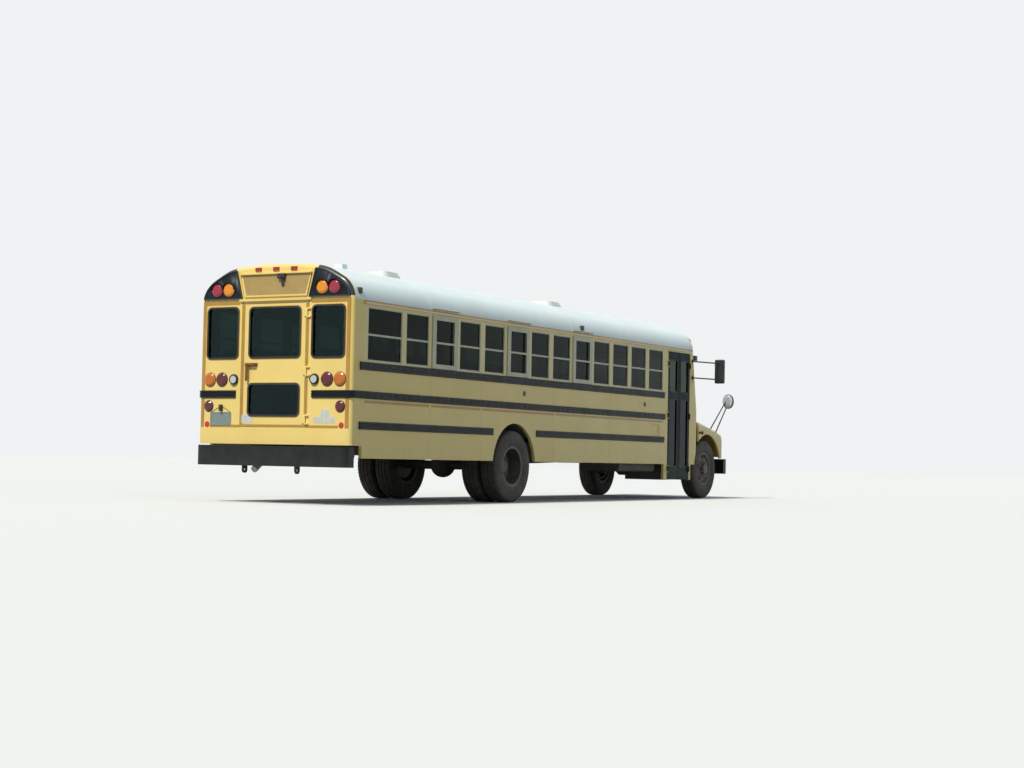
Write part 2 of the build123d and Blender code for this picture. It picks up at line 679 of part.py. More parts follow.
# Cross members: place from the rear wall, low edge, high edge
REAR_MEMBERS = [500, 1900, rear_overhang - 1034]
MIDDLE_MEMBERS = [rear_overhang + 1016 + (wheelbase - 2980) / 3 * i for i in range(4)]
FRONT_MEMBERS = [rear_overhang + wheelbase - 314, rear_overhang + wheelbase + 506]
member_half = 35
upper_member = (812, 880)
front_member = (651, 700)
web_inner = rail_half - rail_web
save("cross_members", [block(back(x) - member_half, back(x) + member_half, -web_inner, web_inner, *heights)
                       for places, heights in ((REAR_MEMBERS + MIDDLE_MEMBERS, upper_member),
                                               (FRONT_MEMBERS, front_member)) for x in places])

# Radiator, and the engine with its gearbox as one plain block
engine_rear = front_axle_x - 374
gearbox_rear = front_axle_x - 1314
radiator_x = front_axle_x + 516
front_member_top = front_member[1]
radiator = block(radiator_x, radiator_x + 70, -345, 345, front_member_top, 1230)
save("engine_block", [radiator, joined([
    block(engine_rear, radiator_x - 20, -330, 330, front_member_top, 1250),
    block(gearbox_rear, engine_rear + 10, -190, 190, 560, 860),
])])

# Exhaust: pipe inside the left rail, silencer, hangers and the tail turned down at the rear
pipe_r = 45
pipe_y = 250
pipe_z = 700
silencer_r = 110
pipe_start = (engine_rear, pipe_y, pipe_z)
silencer_x = (gearbox_rear - 1650, gearbox_rear - 750)
tail = FilletPolyline(pipe_start, (back(520), pipe_y, pipe_z), (back(150), pipe_y, 560),
                      (back(-40), pipe_y, 430), radius=120)
exhaust = sweep(Plane(origin=pipe_start, z_dir=(-1, 0, 0)) * Circle(pipe_r), path=tail)
exhaust = joined([exhaust, rod((silencer_x[0], pipe_y, pipe_z), (silencer_x[1], pipe_y, pipe_z), silencer_r)]
                 + [block(back(x) - 12, back(x) + 12, pipe_y - 12, pipe_y + 12, pipe_z + pipe_r - 4, upper_member[0])
                    for x in REAR_MEMBERS[1:] + MIDDLE_MEMBERS[:3]])
save("exhaust", [exhaust])

# Fuel tank outside the right rail
tank_side_gap = 34        # tank to the inner face of the side panel
tank_rear = back(front_panel_start - 1560)
tank_front = back(front_panel_start - 210)
tank = block(tank_rear, tank_front, -(inner_w - tank_side_gap), -(rail_half + 12), 470, 870)
tank = tank.fillet(60, tank.edges().filter_by(Axis.X))
for strap_x in (tank_rear + 300, tank_front - 300):
    tank += block(strap_x - 30, strap_x + 30, -(rail_half + 30), -rail_half, 560, 850)
save("fuel_tank", [tank])

# Bumpers: channels with returned ends, and their brackets to the rails
bumper_t = 10
bumper_half = half_w - 19
bumper_return = 190
bumper_bend = 90


def bumper(face_x, toward, low, high):
    """A bent bumper with its outer face at face_x and its ends returned in the toward direction."""
    def outline(inset):
        half, reach, r = bumper_half - inset, toward * bumper_return, bumper_bend - inset
        x = face_x + toward * inset
        end = face_x + reach + (toward * 5 if inset else 0)
        face = Face(Wire([edge.edge() for edge in [
            Line((end, half, low), (x + toward * r, half, low)),
            RadiusArc((x + toward * r, half, low), (x, half - r, low), -toward * r),
            Line((x, half - r, low), (x, -half + r, low)),
            RadiusArc((x, -half + r, low), (x + toward * r, -half, low), -toward * r),
            Line((x + toward * r, -half, low), (end, -half, low)),
            Line((end, -half, low), (end, half, low))]]))
        return Solid.extrude(face, Vector(0, 0, high - low))
    return outline(0) - outline(bumper_t)


REAR_BUMPER = (480, 740)
FRONT_BUMPER = (440, 712)
bracket_y = (rail_half, rail_half + 30)
rear_bumper = bumper(rear_x - bumper_reach, 1, *REAR_BUMPER)
front_bumper = bumper(nose_x, -1, *FRONT_BUMPER)
for hand in (-1, 1):
    y0, y1 = sorted((hand * bracket_y[0], hand * bracket_y[1]))
    rear_bumper += block(rear_x - bumper_reach + bumper_t - 1, rail_rear + 160, y0, y1, 560, 700)
    front_bumper += block(rail_front - 120, nose_x - bumper_t + 1, y0, y1, 540, 700)
save("bumpers", [rear_bumper, front_bumper])

# Tow eyes below the bumpers: a plate with a round end and a bore
eye_r = 22
eye_t = 25
eye_round = 45
eye_y = rail_half - eye_t
eyes = []
for eye_x, eye_z, plate_x0, plate_x1, top in (
        (nose_x - 70, 400, nose_x - 200, nose_x - 28, 700),
        (rear_x - 20, 430, rear_x - 62, rear_x + 110, 700)):
    plate = joined([block(plate_x0, plate_x1, eye_y, rail_half, eye_z + 60, top),
                    block(eye_x - eye_round, eye_x + eye_round, eye_y, rail_half, eye_z, eye_z + 70),
                    rod((eye_x, eye_y, eye_z), (eye_x, rail_half, eye_z), eye_round)])
    plate -= rod((eye_x, eye_y - 1, eye_z), (eye_x, rail_half + 1, eye_z), eye_r)
    eyes += [plate, mirrored(plate)]
save("tow_eyes", eyes)

# Leaf springs
spring_w = 76
leaf_t_mid = 60


def leaf_spring(x, y_mid, seat_z, end_z, half_span):
    """A leaf pack as one bowed bar."""
    def spot(dx, z):
        return (x + dx, y_mid - spring_w / 2, z)
    face = Face(Wire([edge.edge() for edge in [
        ThreePointArc(spot(-half_span, end_z), spot(0, seat_z), spot(half_span, end_z)),
        Line(spot(half_span, end_z), spot(half_span, end_z + 34)),
        ThreePointArc(spot(half_span, end_z + 34), spot(0, seat_z + leaf_t_mid), spot(-half_span, end_z + 34)),
        Line(spot(-half_span, end_z + 34), spot(-half_span, end_z))]]))
    return Solid.extrude(face, Vector(0, spring_w, 0))


front_seat_z = 470
rear_seat_z = axle_z + 65
springs = []
for hand in (-1, 1):
    front = leaf_spring(front_axle_x, hand * (rail_half - spring_w / 2), front_seat_z, 585, 640)
    for dx in (-610, 610):
        front += block(front_axle_x + dx - 28, front_axle_x + dx + 28, *sorted((hand * 360, hand * rail_half)),
                       600, rail_top - rail_depth)
    rear = leaf_spring(rear_axle_x, hand * (rail_half + 20 + spring_w / 2), rear_seat_z, 680, 700)
    for dx in (-660, 660):
        rear += block(rear_axle_x + dx - 30, rear_axle_x + dx + 30,
                      *sorted((hand * rail_half, hand * (rail_half + 20 + spring_w))), 690, 800)
    springs += [front, rear]
save("leaf_springs", springs)

# Front axle beam, dropped at the middle, with a bored boss at each end
beam_half = 40
boss_r = 50
boss_half = 80
kingpin_r = 22
beam = prism([(-kingpin_y, 572), (-640, 572), (-520, front_seat_z), (520, front_seat_z), (640, 572), (kingpin_y, 572),
              (kingpin_y, 488), (660, 488), (545, 384), (-545, 384), (-660, 488), (-kingpin_y, 488)],
             "X", front_axle_x - beam_half, front_axle_x + beam_half)
for hand in (-1, 1):
    beam += Pos(front_axle_x, hand * kingpin_y, axle_z) * Cylinder(boss_r, 2 * boss_half)
    beam -= Pos(front_axle_x, hand * kingpin_y, axle_z) * Cylinder(kingpin_r + bearing_gap, 2 * boss_half + 2)
save("front_axle", [beam])

# Steering knuckle: kingpin, yoke round the boss, spindle and steering arm
yoke_t = 34
yoke_out = 85
hub_bore = spindle_r + bearing_gap
front_wheel_y = front_track / 2
spindle_end = front_wheel_y + 95
knuckle = joined([
    Pos(front_axle_x, kingpin_y, axle_z) * Cylinder(kingpin_r, 2 * (boss_half + yoke_t) - 4),
    block(front_axle_x - 45, front_axle_x + 45, kingpin_y - 45, kingpin_y + yoke_out,
          axle_z + boss_half + bearing_gap, axle_z + boss_half + yoke_t),
    block(front_axle_x - 45, front_axle_x + 45, kingpin_y - 45, kingpin_y + yoke_out,
          axle_z - boss_half - yoke_t, axle_z - boss_half - bearing_gap),
    block(front_axle_x - 45, front_axle_x + 45, kingpin_y + boss_r + 6, kingpin_y + yoke_out,
          axle_z - boss_half - yoke_t, axle_z + boss_half + yoke_t),
    rod((front_axle_x, kingpin_y + yoke_out - 1, axle_z), (front_axle_x, spindle_end, axle_z), spindle_r),
    block(front_axle_x - 210, front_axle_x - 40, kingpin_y - 40, kingpin_y - 8,
          axle_z - boss_half - yoke_t, axle_z - boss_half - 12),
])
save("knuckle_left", [knuckle])
save("knuckle_right", [mirrored(knuckle)])

# Rear axle with its differential, spindles and the propeller shaft
rear_wheel_y = rear_track / 2
rear_spindle_end = rear_wheel_y + 125
axle_tube_end = rear_wheel_y - 240
rear_axle = joined([
    cross_rod(rear_axle_x, axle_z, 65, -axle_tube_end, axle_tube_end),
    cross_rod(rear_axle_x, axle_z, spindle_r, -rear_spindle_end, rear_spindle_end),
    Pos(rear_axle_x, 0, axle_z) * Sphere(185),
    rod((rear_axle_x + 100, 0, 548), (gearbox_rear - 10, 0, 700), 48),
])
save("rear_axle", [rear_axle])


# Wheels: rims and tyres turned about their own axle
def turned(points, x, y, hand):
    """A ring turned about the axle from (distance outboard, radius) points."""
    spots = [(x, y + hand * out, axle_z + radius) for out, radius in points]
    face = Face(Wire(Polyline(*spots, close=True).edges()))
    return revolve(face, Axis((x, 0, axle_z), (0, 1, 0)), 360)


half_tyre = tyre_width / 2
TYRE_OUTLINE = [
    (-104, rim_r + 0.3), (-111, rim_r + 14), (-130, 330), (-half_tyre, 400), (-134, 470), (-118, 508),
    (-98, tyre_r), (98, tyre_r), (118, 508), (134, 470), (half_tyre, 400), (130, 330), (111, rim_r + 14),
    (104, rim_r + 0.3)]
FRONT_RIM = [
    (-50, hub_bore), (-50, 85), (2, 85), (2, 195), (-100, 195), (-100, 212), (14, 212), (14, 95), (92, 95),
    (92, 160), (60, 236), (38, 262), (-112, 262), (-120, 298), (-113, 298), (-112, rim_r), (112, rim_r),
    (113, 298), (120, 298), (112, 266), (72, 244), (104, 166), (104, 100), (150, 100), (162, 80), (162, 0),
    (112, 0), (112, hub_bore)]
half_twin = twin_spacing / 2
REAR_RIM = [
    (-230, hub_bore), (-230, 205), (-18, 205), (-25, 222), (-(half_twin - 98), 262), (-(half_twin + 112), 262),
    (-(half_twin + 120), 298), (-(half_twin + 113), 298), (-(half_twin + 112), rim_r), (-(half_twin - 112), rim_r),
    (-(half_twin - 113), 298), (-(half_twin - 120), 298), (-(half_twin - 112), 272), (0, 236),
    (half_twin - 112, 272), (half_twin - 120, 298), (half_twin - 113, 298), (half_twin - 112, rim_r),
    (half_twin + 112, rim_r), (half_twin + 113, 298), (half_twin + 120, 298), (half_twin + 112, 262),
    (half_twin - 98, 262), (25, 222), (18, 118), (132, 108), (150, 84), (150, 0), (130, 0), (130, hub_bore)]
HAND_HOLES = 5
for side, hand in (("left", 1), ("right", -1)):
    y = hand * front_wheel_y
    rim = turned(FRONT_RIM, front_axle_x, y, hand)
    for index in range(HAND_HOLES):
        turn = math.radians(360 / HAND_HOLES * index + 90)
        cx, cz = front_axle_x + 212 * math.cos(turn), axle_z + 212 * math.sin(turn)
        ends = sorted((y + hand * 20, y + hand * 130))
        rim -= cross_rod(cx, cz, 30, *ends)
    save(f"rim_front_{side}", [rim])
    save(f"tyre_front_{side}", [turned(TYRE_OUTLINE, front_axle_x, y, hand)])
    y = hand * rear_wheel_y
    rim = turned(REAR_RIM, rear_axle_x, y, hand)
    for index in range(HAND_HOLES):
        turn = math.radians(360 / HAND_HOLES * index + 90)
        cx, cz = rear_axle_x + 232 * math.cos(turn), axle_z + 232 * math.sin(turn)
        ends = sorted((y - hand * 70, y + hand * 70))
        rim -= cross_rod(cx, cz, 22, *ends)
    save(f"rims_rear_{side}", [rim])
    save(f"tyres_rear_{side}", [turned(TYRE_OUTLINE, rear_axle_x, y - hand * half_twin, hand),
                                turned(TYRE_OUTLINE, rear_axle_x, y + hand * half_twin, hand)])

# Hood with its fenders, tilting forward about two barrels at the frame's front end
hood_rear_x = cowl_face_x + hood_gap
hood_bend_x = hood_nose_x - 145
nose_narrowing = 85
nose_drop = 40
nose_low = 745
grille_half = 470
GRILLE_Z = (850, 1230)
lip_z = 830


def hood_outline(x):
    """Cross-section of the hood at x as (y, z) points from the left foot over the top to the right foot."""
    along = (x - hood_rear_x) / (hood_nose_x - hood_rear_x)
    nose = max(0, (x - hood_bend_x) / (hood_nose_x - hood_bend_x))
    half = hood_half_rear + along * (hood_half_nose - hood_half_rear)
    top = hood_top_rear + along * (hood_top_nose - hood_top_rear) - nose * nose_drop
    side = fender_half - nose * nose_narrowing
    brow = fender_top_rear + along * (fender_top_nose - fender_top_rear) - nose * nose_drop
    left = [(side, hood_low), (side, brow - 150), (side - 20, brow - 70), (side - 110, brow), (half + 40, brow + 12),
            (half, top - 60), (half - 70, top - 8)]
    return left + [(0, top)] + [(-y, z) for y, z in left[::-1]]


def inset_line(points, depth):
    """The same open line moved inward by depth, with its two ends taken down below the foot."""
    moved = []
    for index, (y, z) in enumerate(points):
        normals = []
        for a, b in ((index - 1, index), (index, index + 1)):
            if 0 <= a and b < len(points):
                dy, dz = points[b][0] - points[a][0], points[b][1] - points[a][1]
                size = math.hypot(dy, dz)
                normals.append((-dz / size, dy / size))
        ny, nz = sum(n[0] for n in normals), sum(n[1] for n in normals)
        scale = depth * len(normals) / (ny * ny + nz * nz)
        moved.append((y + ny * scale, z + nz * scale))
    return [(moved[0][0], hood_low - 60)] + moved[1:-1] + [(moved[-1][0], hood_low - 60)]


def hood_solid(places, depth):
    faces = []
    for x in places:
        points = hood_outline(x)
        if depth:
            points = inset_line(points, depth)
        faces.append(Face(Wire(Polyline(*[(x, y, z) for y, z in points], close=True).edges())))
    return loft(faces, ruled=True)


hood = hood_solid([hood_rear_x, hood_bend_x, hood_nose_x], 0)
hood -= hood_solid([hood_rear_x - 1, hood_bend_x, hood_nose_x - hood_t], hood_t)
hood -= cross_rod(front_axle_x, axle_z, front_arch_r, -half_w, half_w)
hood -= block(hood_pivot_x - 20, nose_x, -half_w, half_w, hood_low - 10, nose_low)
hood -= block(hood_nose_x - hood_t - 5, nose_x, -grille_half, grille_half, hood_low - 10, lip_z)
hood -= block(hood_nose_x - hood_t - 5, nose_x, -grille_half, grille_half, *GRILLE_Z)
for hand in (-1, 1):
    y0, y1 = sorted((hand * (barrel_y - barrel_half), hand * (barrel_y + barrel_half)))
    hood += cross_rod(hood_pivot_x, hood_pivot_z, 16, y0, y1)
    hood += block(hood_pivot_x - 12, hood_nose_x - 2, y0, y1, hood_pivot_z, GRILLE_Z[0])

# Headlamps and turn signals: inner edge, outer edge, low edge, high edge
FRONT_LAMPS = [(690, 925, 950, 1105), (945, 1035, 950, 1060)]
lamp_pocket = 20
lamps = []
for inner, outer, low, high in FRONT_LAMPS:
    for hand in (-1, 1):
        y0, y1 = sorted((hand * inner, hand * outer))
        hood -= block(hood_nose_x - lamp_pocket, nose_x, y0, y1, low, high)
        lamp = block(hood_nose_x - lamp_pocket, hood_nose_x + 8, y0, y1, low, high)
        lamps.append(lamp.fillet(7, lamp.edges().group_by(Axis.X)[-1]))
save("front_lamps", lamps)
save("hood", [hood])

# Grille: a frame with level slats and two uprights
grille_x0, grille_x1 = hood_nose_x - 26, hood_nose_x - 4
grille = [block(grille_x0, grille_x1, -grille_half, grille_half, z, z + 18)
          for z in [GRILLE_Z[0] + (GRILLE_Z[1] - GRILLE_Z[0] - 18) * i / 8 for i in range(9)]]
grille += [block(grille_x0, grille_x1, y, y + 20, *GRILLE_Z)
           for y in (-grille_half, -165, 145, grille_half - 20)]
save("grille", [joined(grille)])

# Crossover mirrors on the fenders: head centre and foot places
cross_head = (nose_x - 154, half_w + 51, 1768)
cross_half = (100, 132)   # half width and half height of the oval head
cross_depth = 70
arm_foot_x = nose_x - 504
head_rim = Plane(origin=(cross_head[0] - cross_depth / 2, *cross_head[1:]), x_dir=(0, 1, 0),
                 z_dir=(1, 0, 0)) * Ellipse(*cross_half)
head = extrude(head_rim, cross_depth)
head = head.fillet(28, head.edges().group_by(Axis.X)[-1])
foot_z = fender_top_rear + (arm_foot_x - hood_rear_x) / (hood_nose_x - hood_rear_x) * (
    fender_top_nose - fender_top_rear)
arms = [rod((arm_foot_x, 1050, foot_z - 25), (cross_head[0] - 15, cross_head[1] - 15, 1830), 11),
        rod((arm_foot_x + 180, 1090, foot_z - 60), (cross_head[0] - 15, cross_head[1] - 8, 1720), 11)]
crossover = joined([head] + arms) - hood_solid([hood_rear_x, hood_bend_x, hood_nose_x], 0)
crossover = max(crossover.solids(), key=lambda solid: solid.volume)
save("crossover_mirrors", [crossover, mirrored(crossover)])

# Rear-view mirrors on arms from the front corners
mirror_x = front_start_x + 715
mirror_y = half_w + 231
MIRROR_Z = (2060, 2490)
foot_x = front_start_x + 14
mirror = block(mirror_x - 35, mirror_x + 35, mirror_y - 92, mirror_y + 92, *MIRROR_Z)
mirror = mirror.fillet(25, mirror.edges())
for z in (2130, 2420):
    mirror += block(foot_x - 14, foot_x + 14, half_w, half_w + 18, z - 32, z + 32)
    mirror += rod((foot_x, half_w + 14, z), (mirror_x, mirror_y, z), 12)
save("mirrors", [mirror, mirrored(mirror)])

# Stop arm on the left side, folded back against the side panel
stop_axis = (front_start_x - 535, half_w + 44)
stop_z = 1450
stop_flat = 460
stop_t = 8
octagon_r = stop_flat / 2 / math.cos(math.pi / 8)
octagon = [(stop_axis[0] - 25 - stop_flat / 2 + octagon_r * math.cos(math.pi / 8 + math.pi / 4 * i),
            stop_z + octagon_r * math.sin(math.pi / 8 + math.pi / 4 * i)) for i in range(8)]
stop_plate = prism(octagon, "Y", stop_axis[1] - stop_t / 2, stop_axis[1] + stop_t / 2)
moving, fixed = upright_hinge(
    *stop_axis, stop_z,
    [(stop_axis[0] - 30, stop_axis[0], stop_axis[1] - stop_t / 2, stop_axis[1] + stop_t / 2)],
    [(stop_axis[0] - hinge_r, stop_axis[0] + 80, stop_axis[1] - hinge_r, stop_axis[1] + hinge_r)])
fixed.append(block(stop_axis[0] + 20, stop_axis[0] + 80, half_w, stop_axis[1] + hinge_r, stop_z - 110, stop_z + 110))
save("stop_arm", [joined([stop_plate] + moving)])
save("stop_arm_base", [joined(fixed)])

# Lamp panels, visors and lamps
panel_t = 14
panel_inset = 40
panel_low = 2650
lamp_z = 2775
lamp_r = 89
lens_t = 26
visor_r = 98
visor_wall = 6
visor_reach = 95
AMBER_LAMP_Y, RED_LAMP_Y = 750, 940


def lens(x, toward, y, z, radius, depth=lens_t):
    """A round lens with a bevelled front, standing on the plane at x."""
    plane = Plane(origin=(x, y, z), z_dir=(toward, 0, 0))
    base = extrude(plane * Circle(radius), depth / 2)
    front = Solid.make_cone(radius, radius * 0.7, depth / 2, plane.offset(depth / 2))
    return joined([base, front])


def lamp_panel(face_x, toward, backing):
    """The left black panel seated on the body, with a visor over each of its two lamps."""
    front = face_x + toward * panel_t
    x0, x1 = sorted((front, front - toward * 110))
    edge = prism([(530, panel_low), (1300, panel_low), (1300, 3132), (656, 3132)], "X", x0 - 1, x1 + 1)
    panel = (run(section(x0, panel_inset, band_top), x1 - x0) & edge) - backing
    panel = max(panel.solids(), key=lambda solid: solid.volume)
    tip = front + toward * visor_reach
    for y in (AMBER_LAMP_Y, RED_LAMP_Y):
        tube = rod((front - toward, y, lamp_z), (tip, y, lamp_z), visor_r)
        tube -= rod((front - 2 * toward, y, lamp_z), (tip + toward, y, lamp_z), visor_r - visor_wall)
        wedge = prism([(front - toward, lamp_z - 20), (tip, lamp_z + 52), (tip, lamp_z + 110),
                       (front - toward, lamp_z + 110)], "Y", 600, 1100)
        panel += tube & wedge
    return panel


panels, signs = [], []
sign_t = 6
# Rear and front lamp faces: place, way out, body behind, blank sign as low half width, low edge, high half width and
# high edge
LAMP_FACES = [(rear_x, -1, rear_outer, (500, 2668, 572, 2972)), (brow_face_x, 1, cap_outer, (485, 2690, 530, 2850))]
red_lamps, amber_lamps, clear_lamps = [], [], []
for face_x, toward, backing, sign in LAMP_FACES:
    front = face_x + toward * panel_t
    panel = lamp_panel(face_x, toward, backing)
    panels += [panel, mirrored(panel)]
    for hand in (-1, 1):
        amber_lamps.append(lens(front, toward, hand * AMBER_LAMP_Y, lamp_z, lamp_r))
        red_lamps.append(lens(front, toward, hand * RED_LAMP_Y, lamp_z, lamp_r))
    x0, x1 = sorted((face_x, face_x + toward * sign_t))
    low_half, low, high_half, high = sign
    signs.append(prism([(-low_half, low), (low_half, low), (high_half, high), (-high_half, high)], "X", x0, x1))
save("lamp_panels", panels + signs)

# Rear lamps: across, height, radius, list they belong to
REAR_LAMPS = [
    (645, 1599, 68, clear_lamps),
    (842, 1599, 89, red_lamps),
    (1039, 1599, 89, amber_lamps),
    (1052, 1252, 70, red_lamps),
]
for across, z, radius, lamps in REAR_LAMPS:
    for hand in (-1, 1):
        lamp = lens(rear_x + 4, -1, hand * across, z, radius, lens_t + 4) - rear_outer
        lamps.append(lamp)
# Clearance lamps across the rear and front roof edges
CLEARANCE_Y = [-285, 0, 285]
clearance_half = 48
for across in CLEARANCE_Y:
    y0, y1 = across - clearance_half, across + clearance_half
    red_lamps.append(block(rear_x - 12, rear_x + 50, y0, y1, 3002, 3052) - rear_outer)
    amber_lamps.append(block(brow_face_x - 90, brow_face_x - 20, y0, y1, 3005, 3037) - cap_outer)
save("red_lamps", red_lamps)
save("amber_lamps", amber_lamps)
save("clear_lamps", clear_lamps)

# Seats, barriers and the driver's seat
seat_low = cushion_top - cushion_t
rail_sq = 30
seat_y = (inner_w - seat_wall_gap - seat_width, inner_w - seat_wall_gap)
leg_y = seat_y[0] + 40
cushions, backs, seat_frames = [], [], []
for row in range(seat_rows):
    x = back(seat_first + seat_pitch * row)
    for hand in (-1, 1):
        y0, y1 = sorted((hand * seat_y[0], hand * seat_y[1]))
        backs.append(prism([(x, seat_low), (x + 75, seat_low), (x + 40, seat_back_top), (x - 30, seat_back_top)],
                           "Y", y0, y1))
        cushions.append(block(x + 75, x + 75 + seat_depth, y0, y1, seat_low, cushion_top))
        leg = sorted((hand * leg_y, hand * (leg_y + rail_sq)))
        across = sorted((hand * leg_y, hand * inner_w))
        low = seat_low - rail_sq
        pieces = [block(x + 20, x + 415, *leg, low, seat_low)]
        for dx in (20, 385):
            pieces.append(block(x + dx, x + dx + rail_sq, *leg, floor_z, seat_low))
            pieces.append(block(x + dx, x + dx + rail_sq, *across, low, seat_low))
        seat_frames.append(joined(pieces))
barrier_x = back(front_panel_start - 60)
for hand in (-1, 1):
    y0, y1 = sorted((hand * seat_y[0], hand * seat_y[1]))
    backs.append(block(barrier_x, barrier_x + 45, y0, y1, 1180, 1900))
    leg = sorted((hand * leg_y, hand * (leg_y + rail_sq)))
    wall_leg = sorted((hand * (inner_w - 80), hand * (inner_w - 80 - rail_sq)))
    for post in (leg, wall_leg):
        seat_frames.append(block(barrier_x + 8, barrier_x + 38, *post, floor_z, 1180))
# Driver's seat: middle across, half width, pedestal top, cushion top
driver_y, driver_half, driver_low, driver_top = 620, 240, 1380, 1480
driver_x = front_start_x - 840
seat_frames.append(block(driver_x + 80, driver_x + 400, driver_y - 150, driver_y + 150, floor_z, driver_low))
cushions.append(block(driver_x, driver_x + 480, driver_y - driver_half, driver_y + driver_half, driver_low, driver_top))
backs.append(prism([(driver_x - 90, driver_low), (driver_x, driver_low), (driver_x - 60, 2150), (driver_x - 130, 2150)],
                   "Y", driver_y - driver_half, driver_y + driver_half))
seat_frames.append(block(driver_x - 60, driver_x + 81, driver_y - 60, driver_y + 60, driver_low - 40, driver_low))
save("seat_cushions", cushions)
save("seat_backs", backs)
save("seat_frames", seat_frames)

# Dashboard with the steering column, and the steering wheel
wheel_centre = (front_start_x - 150, driver_y, 1740)
column_lean = math.radians(30)
column_way = (-math.sin(column_lean), 0, math.cos(column_lean))


def on_column(distance):
    return tuple(c + distance * w for c, w in zip(wheel_centre, column_way))


dash_front = cowl_face_x - wall_t - 0.2
dash_rear = dash_front - 335
dashboard = prism([(dash_rear + 120, toe_z + 30), (dash_front, toe_z + 30), (dash_front, 1535),
                   (dash_front - 20, 1575), (dash_rear + 20, 1500), (dash_rear, 1390)], "Y", -300, 1015)
dashboard = joined([dashboard, rod(on_column(-465), on_column(-5), 22)])
save("dashboard", [dashboard])

wheel_r = 225
wheel_tube = 14
hub_r = 46
ring = Plane(origin=wheel_centre, z_dir=column_way) * Torus(wheel_r, wheel_tube)
in_plane = (math.cos(column_lean), 0, math.sin(column_lean))
spokes = [rod(wheel_centre, tuple(c + wheel_r * w for c, w in zip(wheel_centre, way)), 11)
          for way in ((0, 1, 0), (0, -1, 0), tuple(-w for w in in_plane))]
steering_wheel = joined([ring] + spokes + [rod(on_column(-32), on_column(24), hub_r)])
steering_wheel -= rod(on_column(-33), on_column(-5 + bearing_gap), 22 + bearing_gap)
save("steering_wheel", [steering_wheel])
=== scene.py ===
import math

import bmesh
import bpy
from mathutils import Matrix, Vector


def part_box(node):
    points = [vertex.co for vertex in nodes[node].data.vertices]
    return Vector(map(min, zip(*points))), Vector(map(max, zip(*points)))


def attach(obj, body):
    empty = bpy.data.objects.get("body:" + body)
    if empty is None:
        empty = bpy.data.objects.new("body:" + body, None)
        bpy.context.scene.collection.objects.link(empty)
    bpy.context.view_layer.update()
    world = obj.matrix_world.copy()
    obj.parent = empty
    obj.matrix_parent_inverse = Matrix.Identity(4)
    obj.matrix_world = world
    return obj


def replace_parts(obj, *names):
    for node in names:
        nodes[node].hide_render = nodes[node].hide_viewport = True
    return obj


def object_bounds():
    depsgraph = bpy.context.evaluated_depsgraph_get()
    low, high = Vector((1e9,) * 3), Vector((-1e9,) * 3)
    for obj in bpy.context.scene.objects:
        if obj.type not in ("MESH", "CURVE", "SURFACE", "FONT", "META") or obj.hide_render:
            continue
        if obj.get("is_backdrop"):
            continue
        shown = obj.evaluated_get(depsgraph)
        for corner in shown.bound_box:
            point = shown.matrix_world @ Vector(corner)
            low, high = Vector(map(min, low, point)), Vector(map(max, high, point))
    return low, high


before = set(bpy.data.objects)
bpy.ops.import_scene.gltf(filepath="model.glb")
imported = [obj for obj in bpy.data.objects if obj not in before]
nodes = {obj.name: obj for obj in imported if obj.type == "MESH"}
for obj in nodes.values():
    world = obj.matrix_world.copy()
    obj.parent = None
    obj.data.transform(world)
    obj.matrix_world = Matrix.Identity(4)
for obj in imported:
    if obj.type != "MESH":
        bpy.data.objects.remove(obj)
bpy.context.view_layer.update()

# School bus. Metres, +X forward, +Y to the left, +Z up, origin on the ground below the middle.
REAR_CAP = 0.25
rear_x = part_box("roof")[0].x - REAR_CAP
half_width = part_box("window_bands")[1].y
rear_axle_x = (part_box("tyres_rear_left")[0].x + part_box("tyres_rear_left")[1].x) / 2
front_axle_x = (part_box("tyre_front_left")[0].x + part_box("tyre_front_left")[1].x) / 2
axle_z = (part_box("tyre_front_left")[0].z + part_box("tyre_front_left")[1].z) / 2
front_wheel_y = (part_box("tyre_front_left")[0].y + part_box("tyre_front_left")[1].y) / 2
rear_wheel_y = (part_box("tyres_rear_left")[0].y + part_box("tyres_rear_left")[1].y) / 2
TWIN_SPACING = 0.32
CAP_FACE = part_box("front_cap")[1].x - rear_x      # front face of the front roof cap, from the rear wall
hood_nose_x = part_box("hood")[1].x


def back(distance):
    """The X of a place measured forward from the rear wall."""
    return rear_x + distance


# Mesh helpers

def add_block(bm, low, high):
    """A box from its lowest and highest corners."""
    low, high = Vector(low), Vector(high)
    place = Matrix.Translation((low + high) / 2) @ Matrix.Diagonal((*(high - low), 1))
    return bmesh.ops.create_cube(bm, size=1, matrix=place)["verts"]


def add_rod(bm, start, end, radius, sides=12, end_radius=None):
    """A round bar, or a cone, between two points."""
    start, end = Vector(start), Vector(end)
    way = end - start
    place = Matrix.Translation((start + end) / 2) @ way.to_track_quat("Z", "Y").to_matrix().to_4x4()
    return bmesh.ops.create_cone(bm, cap_ends=True, segments=sides, radius1=radius,
                                 radius2=radius if end_radius is None else end_radius,
                                 depth=way.length, matrix=place)["verts"]


def absorb(bm, part):
    """Adds the finished mesh of part to bm."""
    mesh = bpy.data.meshes.new("part")
    part.to_mesh(mesh)
    part.free()
    bm.from_mesh(mesh)
    bpy.data.meshes.remove(mesh)


